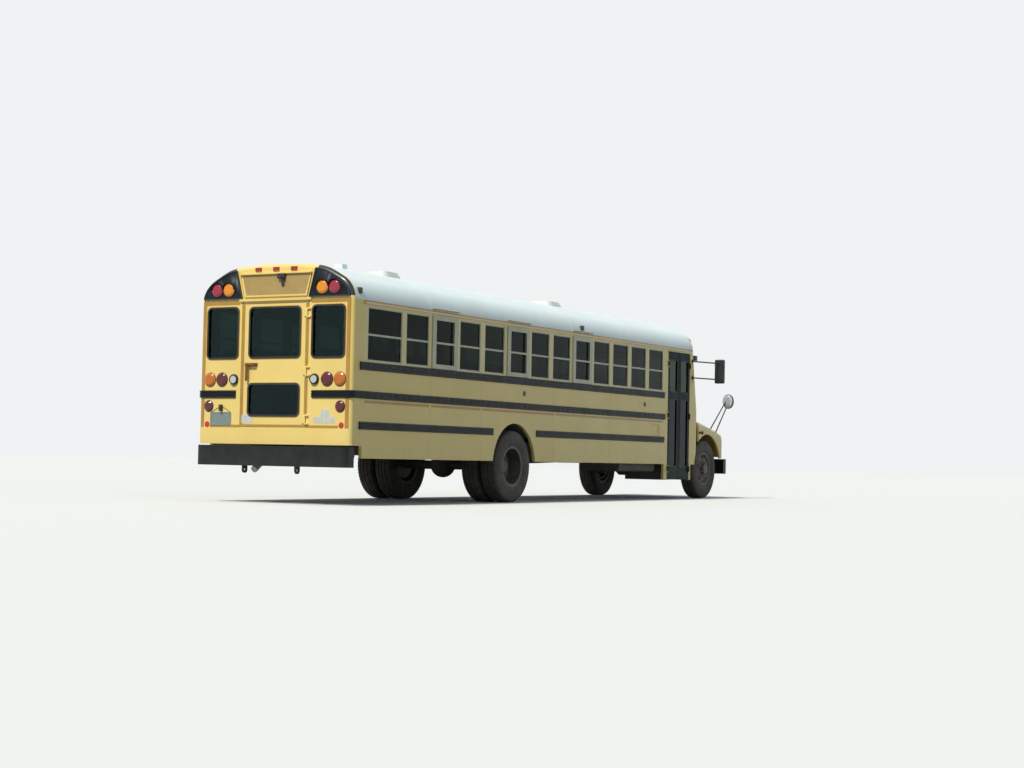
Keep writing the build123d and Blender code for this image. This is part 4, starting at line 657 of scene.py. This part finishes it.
# Blank signs at the rear and the front: place, way, then low half width, low edge, high half width, high edge
SIGNS = [(rear_x - 0.006, -1, 0.501, 2.667, 0.573, 2.973), (back(CAP_FACE) + 0.006, 1, 0.486, 2.689, 0.531, 2.851)]
SIGN_RIM = 0.028
bm, edge_bm = bmesh.new(), bmesh.new()
for face_x, way, low_half, low, high_half, high in SIGNS:
    place = facing(face_x, 0, 0, (way, 0, 0))
    absorb(bm, placed(tapered_plate(low_half - SIGN_RIM, low + SIGN_RIM, high_half - SIGN_RIM, high - SIGN_RIM / 2,
                                    0.002), place))
    absorb(edge_bm, placed(tapered_plate(low_half, low, high_half, high, 0.010, SIGN_RIM * 0.6), place))
    absorb(edge_bm, placed(tapered_plate(low_half, low, high_half, high, 0.001), place))
add_block(edge_bm, (rear_x - 0.032, -0.570, 2.962), (rear_x - 0.004, 0.570, 2.974))
make_piece("sign_faces", bm, sign_gold)
make_piece("sign_frames", edge_bm, yellow_paint)

# Rear camera on the sign, and the lamp over the plate with its two stays
PLATE = (0.850, 1.085, 0.165, 0.082)
bm = bmesh.new()
add_block(bm, (rear_x - 0.048, -0.160, 2.897), (rear_x - 0.006, -0.044, 2.964))
add_block(bm, (rear_x - 0.026, -0.138, 2.806), (rear_x - 0.006, -0.098, 2.900))
add_block(bm, (rear_x - 0.040, 0.820, 1.185), (rear_x + 0.001, 0.862, 1.270))
bmesh.ops.bevel(bm, geom=bm.edges[:], offset=0.005, affect="EDGES", segments=2, profile=0.5, material=-1,
                clamp_overlap=True)
add_rod(bm, (rear_x - 0.058, -0.101, 2.925), (rear_x - 0.046, -0.101, 2.925), 0.022, 20)
for across in (-0.155, 0.155):
    add_rod(bm, (rear_x - 0.003, PLATE[0] - 0.009, 1.255), (rear_x - 0.003, PLATE[0] + across, 1.175), 0.003, 8)
make_piece("rear_camera_and_plate_lamp", bm, dark_plastic, smooth=35)

# Blank plate in its frame, and blank labels: middle across, middle up, half width, half height, body
BLANK_LABELS = [(-0.812, 1.078, 0.164, 0.040, "bus"), (-0.822, 1.165, 0.066, 0.042, "bus"),
                (0.420, 1.085, 0.088, 0.055, "rear_door")]
absorb_frame = bmesh.new()
absorb(absorb_frame, placed(round_plate(PLATE[2] + 0.006, PLATE[3] + 0.006, 0.012, 0.006, 0.012),
                            facing(rear_x, PLATE[0], PLATE[1], REAR)))
make_piece("plate_frame", absorb_frame, bare_steel, smooth=35)
plate_bm = bmesh.new()
absorb(plate_bm, placed(round_plate(PLATE[2] - 0.002, PLATE[3] - 0.002, 0.010, 0.003),
                        facing(rear_x, PLATE[0], PLATE[1], REAR)))
make_piece("blank_plate", plate_bm, plate_grey)
for body in ("bus", "rear_door"):
    bm = bmesh.new()
    for y, z, half_a, half_b, rides in BLANK_LABELS:
        if rides == body:
            absorb(bm, placed(round_plate(half_a, half_b, 0.010, 0.002), facing(rear_x, y, z, REAR)))
    make_piece(f"blank_labels_{body}", bm, plate_white, body)

# Rings round the rear lamps: across, up, inner radius, outer radius, height
LAMP_RINGS = [(0.645, 1.599, 0.052, 0.070, 0.030), (0.842, 1.599, 0.087, 0.094, 0.010),
              (1.039, 1.599, 0.087, 0.094, 0.010), (1.052, 1.252, 0.068, 0.076, 0.010)]


def ring_shape(inner, outer, depth, sides=40):
    """A flat ring standing on z = 0."""
    part = bmesh.new()
    spots = [part.verts.new((r, 0, z)) for r, z in
             ((inner, 0), (inner, depth), (inner + (outer - inner) * 0.6, depth), (outer, depth * 0.4), (outer, 0))]
    for a, b in zip(spots, spots[1:] + spots[:1]):
        part.edges.new((a, b))
    bmesh.ops.spin(part, geom=part.verts[:] + part.edges[:], cent=(0, 0, 0), axis=(0, 0, 1), angle=math.tau,
                   steps=sides, use_merge=True)
    bmesh.ops.remove_doubles(part, verts=part.verts[:], dist=0.0001)
    bmesh.ops.recalc_face_normals(part, faces=part.faces[:])
    return part


bm = bmesh.new()
for across, z, inner, outer, height in LAMP_RINGS:
    for hand in (-1, 1):
        absorb(bm, placed(ring_shape(inner, outer, height), facing(rear_x, hand * across, z, REAR)))
make_piece("lamp_rings", bm, rubber, smooth=30)
bm = bmesh.new()
for hand in (-1, 1):
    absorb(bm, placed(ring_shape(0.001, 0.039, 0.008, 28), facing(rear_x, hand * 1.075, 1.013, REAR)))
make_piece("rear_reflectors", bm, bright_red_lens, smooth=30)

# Handle plate, bar and lever of the rear door, sleeved over the solid: two corners of each block
HANDLE_BLOCKS = [((-0.0095, 0.2655, 1.7665), (0.0005, 0.4715, 1.8135)),
                 ((-0.0455, 0.4035, 1.5785), (-0.0325, 0.4365, 1.7905))]
# Bars of the handle: start, end, radius
HANDLE_RODS = [((-0.040, 0.286, 1.790), (-0.040, 0.431, 1.790), 0.0112),
               ((-0.0462, 0.291, 1.790), (0.0005, 0.291, 1.790), 0.0102),
               ((-0.0462, 0.420, 1.790), (0.0005, 0.420, 1.790), 0.0152)]
bm = bmesh.new()
for low, high in HANDLE_BLOCKS:
    add_block(bm, (rear_x + low[0], *low[1:]), (rear_x + high[0], *high[1:]))
bmesh.ops.bevel(bm, geom=bm.edges[:], offset=0.0008, affect="EDGES", segments=2, profile=0.5, material=-1)
for start, end, radius in HANDLE_RODS:
    add_rod(bm, (rear_x + start[0], *start[1:]), (rear_x + end[0], *end[1:]), radius, 20)
make_piece("rear_door_handle", bm, handle_bronze, "rear_door", smooth=35)

# Lamp panels with their visors cut short, as the ones in the photograph are
VISOR_REACH = 0.054
short_panels = bmesh.new()
short_panels.from_mesh(nodes["lamp_panels"].data)
bmesh.ops.remove_doubles(short_panels, verts=short_panels.verts[:], dist=0.0001)
for face_x, way in ((rear_x, -1), (back(CAP_FACE), 1)):
    whole = short_panels.verts[:] + short_panels.edges[:] + short_panels.faces[:]
    cut = bmesh.ops.bisect_plane(short_panels, geom=whole, plane_co=(face_x + way * VISOR_REACH, 0, 0),
                                 plane_no=(way, 0, 0), clear_outer=True)["geom_cut"]
    bmesh.ops.holes_fill(short_panels, edges=[e for e in cut if isinstance(e, bmesh.types.BMEdge)], sides=0)
# The front ones also end before the roof's rounded corner
FRONT_PANEL_HALF = 1.10
for hand in (-1, 1):
    front = [v for v in short_panels.verts if v.co.x > 0]
    whole = front + list({e for v in front for e in v.link_edges}) + list({f for v in front for f in v.link_faces})
    cut = bmesh.ops.bisect_plane(short_panels, geom=whole, plane_co=(0, hand * FRONT_PANEL_HALF, 0),
                                 plane_no=(0, hand, 0), clear_outer=True)["geom_cut"]
    bmesh.ops.holes_fill(short_panels, edges=[e for e in cut if isinstance(e, bmesh.types.BMEdge)], sides=0)
bmesh.ops.recalc_face_normals(short_panels, faces=short_panels.faces[:])
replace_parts(make_piece("lamp_panels_short_visors", short_panels, black_paint, smooth=30), "lamp_panels")

# Raised rims of the black lamp panels, along the roof's own curve, in a lighter grey that is a painted highlight on the
# ridge
ROOF_ARCS = [(0.360, 30), (3.000, 26), (0.620, 6)]
SPRING_Z = 2.595


def roof_line(inset, steps=8):
    """Points (across, up) along one half of the roof's outline, from the side to the middle."""
    y, z, slope, points = half_width, SPRING_Z, 90, []
    for radius, end_slope in ROOF_ARCS:
        middle_y = y - radius * math.sin(math.radians(slope))
        middle_z = z - radius * math.cos(math.radians(slope))
        for step in range(steps):
            turn = math.radians(slope + (end_slope - slope) * step / steps)
            points.append((middle_y + (radius - inset) * math.sin(turn), middle_z + (radius - inset) * math.cos(turn)))
        y = middle_y + radius * math.sin(math.radians(end_slope))
        z = middle_z + radius * math.cos(math.radians(end_slope))
        slope = end_slope
    crown = y / math.sin(math.radians(slope))
    middle_z = z - crown * math.cos(math.radians(slope))
    for step in range(steps + 1):
        turn = math.radians(slope * (1 - step / steps))
        points.append(((crown - inset) * math.sin(turn), middle_z + (crown - inset) * math.cos(turn)))
    return points


PANEL_LOW, PANEL_HIGH = (0.530, 2.650), (0.656, 3.132)
PANEL_T = 0.014
RIM_SETBACK, RIM_WIDTH, RIM_HEIGHT = 0.014, 0.012, 0.007


def slant(z):
    """Inner edge of a lamp panel at one height."""
    share = (z - PANEL_LOW[1]) / (PANEL_HIGH[1] - PANEL_LOW[1])
    return PANEL_LOW[0] + share * (PANEL_HIGH[0] - PANEL_LOW[0])


curve = [(y, z) for y, z in roof_line(0.040) if z > PANEL_LOW[1] and y > slant(z)]
curve = [(curve[0][0] + 0.001, PANEL_LOW[1])] + curve
curve.append((slant(curve[-1][1] + 0.001), curve[-1][1] + 0.001))
curve.append(PANEL_LOW)
bm = bmesh.new()
for face_x, way, widest in ((rear_x, -1, half_width), (back(CAP_FACE), 1, FRONT_PANEL_HALF)):
    for hand in (-1, 1):
        part = bmesh.new()
        part.faces.new([part.verts.new((hand * min(y, widest), z, 0)) for y, z in curve])
        outer = bmesh.ops.inset_region(part, faces=part.faces[:], thickness=RIM_SETBACK, use_boundary=True, use_even_offset=True)["faces"]
        bmesh.ops.delete(part, geom=outer, context="FACES")
        ring = bmesh.ops.inset_region(part, faces=part.faces[:], thickness=RIM_WIDTH, use_boundary=True, use_even_offset=True)["faces"]
        bmesh.ops.delete(part, geom=[f for f in part.faces if f not in ring], context="FACES")
        raised = bmesh.ops.extrude_face_region(part, geom=part.faces[:])["geom"]
        bmesh.ops.translate(part, vec=(0, 0, RIM_HEIGHT), verts=[v for v in raised if isinstance(v, bmesh.types.BMVert)])
        bmesh.ops.recalc_face_normals(part, faces=part.faces[:])
        absorb(bm, placed(part, facing(face_x + way * (PANEL_T - 0.0005), 0, 0, (way, 0, 0))))
make_piece("lamp_panel_rims", bm, panel_rim_painted_highlight, smooth=35)

# Side lamps, and lamps on the roof's edge: place, half length, low edge, high edge, reach from the middle
SIDE_LAMPS = [(4.45, 1.597), (8.58, 1.590)]
bm = bmesh.new()
for place, z in SIDE_LAMPS:
    for hand in (-1, 1):
        absorb(bm, placed(ring_shape(0.001, 0.040, 0.016, 24), facing(back(place), hand * half_width, z,
                                                                      (0, hand, 0))))
make_piece("side_lamps", bm, dark_red_lens, smooth=30)
ROOF_LAMPS = [(0.163, 0.034, 2.690, 2.768, 1.226), (6.26, 0.040, 2.664, 2.736, 1.240)]
bm, lens_bm = bmesh.new(), bmesh.new()
for place, half, z0, z1, reach in ROOF_LAMPS:
    for hand in (-1, 1):
        y0, y1 = sorted((hand * 1.150, hand * reach))
        add_block(bm, (back(place) - half, y0, z0), (back(place) + half, y1, z1))
        y0, y1 = sorted((hand * (reach - 0.01), hand * (reach + 0.004)))
        add_block(lens_bm, (back(place) - half * 0.6, y0, z0 + 0.018), (back(place) + half * 0.6, y1, z1 - 0.018))
for block_bm, size in ((bm, 0.010), (lens_bm, 0.003)):
    bmesh.ops.bevel(block_bm, geom=block_bm.edges[:], offset=size, affect="EDGES", segments=2, profile=0.5,
                    material=-1)
make_piece("roof_edge_lamps", bm, dark_plastic, smooth=35)
make_piece("roof_edge_lenses", lens_bm, dark_red_lens, smooth=35)

# Seams across the roof, each a strip over a joint of two sheets
ROOF_SEAMS = [1.855, 3.895, 5.935, 7.975, 9.650]
SEAM_HALF, SEAM_T = 0.018, 0.0018
bm = bmesh.new()
for place in ROOF_SEAMS:
    part = bmesh.new()
    half_line = [(y, z) for y, z in roof_line(0.0) if z > SPRING_Z + 0.010]
    whole = half_line + [(-y, z) for y, z in half_line[-2::-1]]
    line = [part.verts.new((back(place) - SEAM_HALF, y, z)) for y, z in whole]
    edges = [part.edges.new(pair) for pair in zip(line, line[1:])]
    raised = bmesh.ops.extrude_edge_only(part, edges=edges)["geom"]
    bmesh.ops.translate(part, vec=(2 * SEAM_HALF, 0, 0), verts=[v for v in raised if isinstance(v, bmesh.types.BMVert)])
    inwards = [f for f in part.faces if f.normal.z < 0]
    bmesh.ops.reverse_faces(part, faces=inwards)
    bmesh.ops.solidify(part, geom=part.faces[:], thickness=-SEAM_T)
    absorb(bm, part)
make_piece("roof_seams", bm, white_paint, smooth=40)

# Panel joints on the sides with their rivets
PANEL_JOINTS = [1.855, 3.215, 5.395, 7.305]


def add_rivet(bm, x, y, z, way, radius=0.006):
    foot = Vector((x, y, z))
    add_rod(bm, foot - Vector(way) * 0.001, foot + Vector(way) * 0.003, radius, 7, radius * 0.55)


bm, rivets = bmesh.new(), bmesh.new()
for hand in (-1, 1):
    for place in PANEL_JOINTS:
        for z0, z1 in ((0.605, 0.96), (1.072, 1.352), (1.462, 1.716)):
            if z0 > 0.7 or abs(back(place) - rear_axle_x) > 0.75:
                y0, y1 = sorted((hand * (half_width - 0.0005), hand * (half_width + 0.0012)))
                add_block(bm, (back(place) - 0.022, y0, z0), (back(place) + 0.022, y1, z1))
                count = int((z1 - z0) / 0.06)
                for index in range(count + 1):
                    z = z0 + 0.02 + (z1 - z0 - 0.04) * index / max(1, count)
                    for shift in (-0.013, 0.013):
                        add_rivet(rivets, back(place) + shift, hand * (half_width + 0.0012), z, (0, hand, 0), 0.0045)
make_piece("panel_joints", bm, yellow_paint)
# Rivets along the rub rails' valleys and the foot of the side panels
for hand in (-1, 1):
    for z, reach, start, end in ((1.746, 0.014, 0.24, 9.30), (1.792, 0.014, 0.24, 9.30), (1.394, 0.014, 0.24, 9.32),
                                 (1.428, 0.014, 0.24, 9.32), (0.630, 0.0, 0.30, 3.50), (0.630, 0.0, 4.85, 9.30)):
        count = int((end - start) / 0.17)
        for index in range(count + 1):
            x = back(start + (end - start) * index / count)
            add_rivet(rivets, x, hand * (half_width + reach), z, (0, hand, 0))
make_piece("rivets", rivets, frame_metal, smooth=30)

# Seals of the entrance leaves and round their panes
for end, hand_x in (("rear", 1), ("front", -1)):
    low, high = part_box(f"entrance_leaf_{end}")
    middle = back((9.493 + 10.408) / 2)
    bm = bmesh.new()
    x0, x1 = sorted((middle - hand_x * 0.0062, middle - hand_x * 0.0015))
    add_block(bm, (x0, -half_width + 0.010, low.z + 0.002), (x1, -half_width + 0.036, high.z - 0.002))
    for glass_low, glass_high in ((0.560, 1.720), (1.850, 2.400)):
        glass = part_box(f"entrance_glass_{end}")
        rim = round_plate((glass[1].x - glass[0].x) / 2 + 0.008, (glass_high - glass_low) / 2 + 0.008, 0.02, 0.004,
                          0.018)
        absorb(bm, placed(rim, facing((glass[0].x + glass[1].x) / 2, -half_width + 0.005,
                                      (glass_low + glass_high) / 2, (0, -1, 0))))
    make_piece(f"entrance_seals_{end}", bm, rubber, f"entrance_{end}", smooth=35)

# Mirror faces on the rear-view and crossover mirrors
bm = bmesh.new()
for hand in (-1, 1):
    absorb(bm, placed(round_plate(0.078, 0.135, 0.02, 0.003), facing(back(11.16), hand * 1.45, 2.335, REAR)))
    absorb(bm, placed(round_plate(0.078, 0.052, 0.02, 0.003), facing(back(11.16), hand * 1.45, 2.130, REAR)))
make_piece("rear_view_mirror_faces", bm, dark_mirror, smooth=35)
# The crossover mirror faces show a painted bright reflection in their colour
bm = bmesh.new()
for hand in (-1, 1):
    dome = bmesh.new()
    bmesh.ops.create_uvsphere(dome, u_segments=32, v_segments=16, radius=1,
                              matrix=Matrix.Diagonal((0.026, 0.090, 0.121, 1)))
    bmesh.ops.translate(dome, vec=(back(12.05) - 0.035, hand * 1.27, 1.768), verts=dome.verts[:])
    absorb(bm, dome)
make_piece("crossover_mirror_faces", bm, mirror_with_painted_reflection, "hood", smooth=60)

# Front: windshield gaskets and wipers on the raked wall, lamp bezels, turn signals, hood latches
cowl_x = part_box("front_frame")[1].x
COWL_Z = 1.545
RAKE = (cowl_x - back(CAP_FACE)) / (2.571 - COWL_Z)


def on_shield(y, z, proud=0.0):
    """A place on the raked front wall."""
    return Vector((cowl_x - RAKE * (z - COWL_Z) + proud, y, z))


bm = bmesh.new()
for hand in (-1, 1):
    middle = on_shield(hand * 0.519, 2.050)
    rim = round_plate(0.491 + 0.016, 0.450 * math.hypot(1, RAKE) + 0.016, 0.030, 0.008, 0.026)
    absorb(bm, placed(rim, facing(*middle, (1, 0, RAKE))))
make_piece("windshield_gaskets", bm, rubber, smooth=35)

# Small black box on the front wall's right corner, at the upper mirror arm
CORNER_BOX_LOW, CORNER_BOX_HIGH = (-1.200, 2.445), (-1.120, 2.535)
CORNER_BOX_REACH = 0.075
bm = bmesh.new()
wall_x = on_shield(0, CORNER_BOX_LOW[1]).x
add_block(bm, (wall_x - 0.045, *CORNER_BOX_LOW), (wall_x + CORNER_BOX_REACH, *CORNER_BOX_HIGH))
bmesh.ops.bevel(bm, geom=bm.edges[:], offset=0.012, affect="EDGES", segments=2, profile=0.5, material=-1)
make_piece("corner_box", bm, dark_plastic, smooth=35)
bm = bmesh.new()
for shift in (-1, 1):
    foot, elbow = (shift * 0.62, 1.578), (shift * 0.30, 1.640)
    start, end = (shift * 0.58, 1.612), (shift * 0.05, 1.664)
    add_rod(bm, on_shield(*foot, -0.004), on_shield(*foot, 0.030), 0.016, 16)
    add_rod(bm, on_shield(*foot, 0.024), on_shield(*elbow, 0.024), 0.006, 10)
    add_rod(bm, on_shield(*start, 0.013), on_shield(*end, 0.013), 0.0055, 8)
    add_rod(bm, on_shield(*elbow, 0.010), on_shield(*elbow, 0.028), 0.007, 10)
make_piece("wipers", bm, black_paint, smooth=35)
FRONT_BEZELS = [(0.8075, 1.0275, 0.1175, 0.0775), (0.990, 1.005, 0.045, 0.055)]
bm = bmesh.new()
for across, z, half_a, half_b in FRONT_BEZELS:
    for hand in (-1, 1):
        rim = round_plate(half_a + 0.008, half_b + 0.008, 0.012, 0.006, 0.010)
        absorb(bm, placed(rim, facing(hood_nose_x - 0.001, hand * across, z, (1, 0, 0))))
make_piece("front_lamp_bezels", bm, bare_steel, "hood", smooth=35)
bm = bmesh.new()
for hand in (-1, 1):
    y0, y1 = sorted((hand * 0.947, hand * 1.033))
    add_block(bm, (hood_nose_x + 0.001, y0, 0.952), (hood_nose_x + 0.011, y1, 1.058))
bmesh.ops.bevel(bm, geom=bm.edges[:], offset=0.003, affect="EDGES", segments=2, profile=0.5, material=-1)
make_piece("front_turn_lenses", bm, amber_lens, "hood", smooth=35)
hood_rear_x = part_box("hood")[0].x
bm = bmesh.new()
for hand in (-1, 1):
    y0, y1 = sorted((hand * 1.192, hand * 1.212))
    add_block(bm, (hood_rear_x + 0.012, y0, 1.150), (hood_rear_x + 0.052, y1, 1.190))
    y0, y1 = sorted((hand * 1.200, hand * 1.216))
    add_block(bm, (hood_rear_x + 0.004, y0, 1.160), (hood_rear_x + 0.145, y1, 1.180))
    y0, y1 = sorted((hand * 1.190, hand * 1.226))
    add_block(bm, (hood_rear_x + 0.125, y0, 1.145), (hood_rear_x + 0.150, y1, 1.195))
bmesh.ops.bevel(bm, geom=bm.edges[:], offset=0.004, affect="EDGES", segments=2, profile=0.5, material=-1)
make_piece("hood_latches", bm, rubber, "hood", smooth=35)

# Stop arm: white rim and two lamps on a blank face
stop_low, stop_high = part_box("stop_arm")
stop_y = half_width + 0.044
stop_middle = (stop_low.x + 0.23, (stop_low.z + stop_high.z) / 2)
bm, lamps = bmesh.new(), bmesh.new()
for way in (-1, 1):
    rim = bmesh.new()
    bmesh.ops.create_circle(rim, cap_ends=True, segments=8, radius=0.226 / math.cos(math.pi / 8),
                            matrix=Matrix.Rotation(math.pi / 8, 4, "Z"))
    ring = bmesh.ops.inset_region(rim, faces=rim.faces[:], thickness=0.014, use_boundary=True, use_even_offset=True)["faces"]
    bmesh.ops.delete(rim, geom=[f for f in rim.faces if f not in ring], context="FACES")
    raised = bmesh.ops.extrude_face_region(rim, geom=rim.faces[:])["geom"]
    bmesh.ops.translate(rim, vec=(0, 0, 0.001), verts=[v for v in raised if isinstance(v, bmesh.types.BMVert)])
    bmesh.ops.recalc_face_normals(rim, faces=rim.faces[:])
    absorb(bm, placed(rim, facing(stop_middle[0], stop_y + way * 0.004, stop_middle[1], (0, way, 0))))
    for shift in (-0.165, 0.165):
        absorb(lamps, placed(ring_shape(0.001, 0.045, 0.018, 28),
                             facing(stop_middle[0], stop_y + way * 0.004, stop_middle[1] + shift, (0, way, 0))))
make_piece("stop_arm_rim", bm, plate_white, "stop_arm")
make_piece("stop_arm_lamps", lamps, red_lens, "stop_arm", smooth=30)


# Seats: crowned cushions and backs with rounded edges and pulled-in sides
def padded_block(low, high, crown, lean=0.0):
    """A stuffed block: rounded edges, a crowned front and top, and sides that pull in between the corners."""
    low, high = Vector(low), Vector(high)
    middle, half = (low + high) / 2, (high - low) / 2
    part = bmesh.new()
    bmesh.ops.create_cube(part, size=2)
    bmesh.ops.subdivide_edges(part, edges=part.edges[:], cuts=7, use_grid_fill=True)
    for _ in range(2):
        bmesh.ops.smooth_vert(part, verts=part.verts[:], factor=0.5, use_axis_x=True, use_axis_y=True,
                              use_axis_z=True)
    reach = max(abs(v.co.x) for v in part.verts)
    for vert in part.verts:
        u, v, w = vert.co / reach
        pull = 1 - crown * (1 - w * w) * 0.35
        x, y = u * pull * half.x, v * pull * half.y
        z = w * (1 - crown * (1 - (1 - u * u) * (1 - v * v))) * half.z
        vert.co = (middle.x + x - lean * (w + 1) / 2, middle.y + y, middle.z + z)
    bmesh.ops.recalc_face_normals(part, faces=part.faces[:])
    return part


SEAT_ROWS = 13
SEAT_PITCH = 0.69
SEAT_FIRST = 0.33
SEAT_Y = (0.212, 1.162)
cushions, backs = bmesh.new(), bmesh.new()
for row in range(SEAT_ROWS):
    x = back(SEAT_FIRST + SEAT_PITCH * row)
    for hand in (-1, 1):
        y0, y1 = sorted((hand * SEAT_Y[0], hand * SEAT_Y[1]))
        absorb(cushions, padded_block((x + 0.077, y0, 1.310), (x + 0.475, y1, 1.430), 0.12))
        absorb(backs, padded_block((x + 0.002, y0, 1.310), (x + 0.073, y1, 2.010), 0.05, 0.033))
for hand in (-1, 1):
    y0, y1 = sorted((hand * SEAT_Y[0], hand * SEAT_Y[1]))
    absorb(backs, padded_block((back(9.300), y0, 1.180), (back(9.345), y1, 1.900), 0.05))
absorb(cushions, padded_block((back(9.640), 0.380, 1.380), (back(10.120), 0.860, 1.480), 0.12))
absorb(backs, padded_block((back(9.550), 0.380, 1.380), (back(9.640), 0.860, 2.150), 0.08, 0.050))
for name, bm, node in (("seat_cushions_padded", cushions, "seat_cushions"), ("seat_backs_padded", backs, "seat_backs")):
    piece = make_piece(name, bm, seat_vinyl, smooth=70)
    rounding = piece.modifiers.new("rounding", "SUBSURF")
    rounding.levels = rounding.render_levels = 1
    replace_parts(piece, node)

# Floor, backdrop, lights and camera
bm = bmesh.new()
bmesh.ops.create_grid(bm, x_segments=1, y_segments=1, size=150)
floor_mesh = bpy.data.meshes.new("studio_floor")
bm.to_mesh(floor_mesh)
bm.free()
floor_pale = bpy.data.materials.new("floor_pale")
floor_pale.use_nodes = True
tree = floor_pale.node_tree
# The camera and reflections see a pale floor, while less light is thrown back up at the bus
path = tree.nodes.new("ShaderNodeLightPath")
direct = calculated(tree, "MAXIMUM", path.outputs["Is Camera Ray"], path.outputs["Is Transmission Ray"])
direct = calculated(tree, "MAXIMUM", direct, path.outputs["Is Glossy Ray"])
tree.links.new(mixed(tree, direct, linear(118, 122, 116), linear(234, 234, 230)),
               tree.nodes["Principled BSDF"].inputs["Base Color"])
tree.nodes["Principled BSDF"].inputs["Roughness"].default_value = 0.9
floor_mesh.materials.append(floor_pale)
studio_floor = bpy.data.objects.new("studio_floor", floor_mesh)
bpy.context.collection.objects.link(studio_floor)
studio_floor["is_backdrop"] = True

scene = bpy.context.scene
scene.view_settings.view_transform = "Standard"
world = bpy.data.worlds.new("studio")
scene.world = world
world.use_nodes = True
tree = world.node_tree
ambient = tree.nodes["Background"]
ambient.inputs["Color"].default_value = linear(200, 227, 250)
ambient.inputs["Strength"].default_value = 0.31
seen = tree.nodes.new("ShaderNodeBackground")
seen.inputs["Color"].default_value = linear(240, 242, 243)
seen.inputs["Strength"].default_value = 1.0
path = tree.nodes.new("ShaderNodeLightPath")
direct = calculated(tree, "MAXIMUM", path.outputs["Is Camera Ray"], path.outputs["Is Transmission Ray"])
direct = calculated(tree, "MAXIMUM", direct, path.outputs["Is Glossy Ray"])
choice = tree.nodes.new("ShaderNodeMixShader")
tree.links.new(direct, choice.inputs[0])
tree.links.new(ambient.outputs[0], choice.inputs[1])
tree.links.new(seen.outputs[0], choice.inputs[2])
tree.links.new(choice.outputs[0], tree.nodes["World Output"].inputs["Surface"])


def add_sun(name, direction, strength, angle, color=(1, 1, 1)):
    light = bpy.data.lights.new(name, "SUN")
    light.energy = strength
    light.angle = math.radians(angle)
    light.color = color
    lamp = bpy.data.objects.new(name, light)
    lamp.rotation_mode = "QUATERNION"
    lamp.rotation_quaternion = Vector(direction).to_track_quat("-Z", "Y")
    bpy.context.collection.objects.link(lamp)


add_sun("key", (0.66, -0.08, -0.84), 3.4, 8, (1.0, 0.97, 0.91))
add_sun("fill", (0.3, 0.9, -0.5), 0.10, 40, (0.9, 0.96, 1.0))

# The camera stands where the photograph was taken, found from the bus's own edges
CAMERA_PLACE = Vector((-24.614, -14.090, 0.620))
CAMERA_YAW, CAMERA_PITCH, CAMERA_ROLL = 0.517275, 0.0423294, 0.0197491
FOCAL_PX, PHOTO_WIDTH = 1791.64, 1024
forward = Vector((math.cos(CAMERA_YAW) * math.cos(CAMERA_PITCH), math.sin(CAMERA_YAW) * math.cos(CAMERA_PITCH),
                  math.sin(CAMERA_PITCH)))
level_right = Vector((math.sin(CAMERA_YAW), -math.cos(CAMERA_YAW), 0))
level_up = level_right.cross(forward)
right = math.cos(CAMERA_ROLL) * level_right + math.sin(CAMERA_ROLL) * level_up
up = -math.sin(CAMERA_ROLL) * level_right + math.cos(CAMERA_ROLL) * level_up
camera_data = bpy.data.cameras.new("camera")
camera_data.sensor_width = 36
camera_data.lens = FOCAL_PX * camera_data.sensor_width / PHOTO_WIDTH
camera_data.clip_end = 500
camera = bpy.data.objects.new("camera", camera_data)
camera.matrix_world = Matrix.Translation(CAMERA_PLACE) @ Matrix((right, up, -forward)).transposed().to_4x4()
bpy.context.collection.objects.link(camera)
scene.camera = camera

low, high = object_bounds()
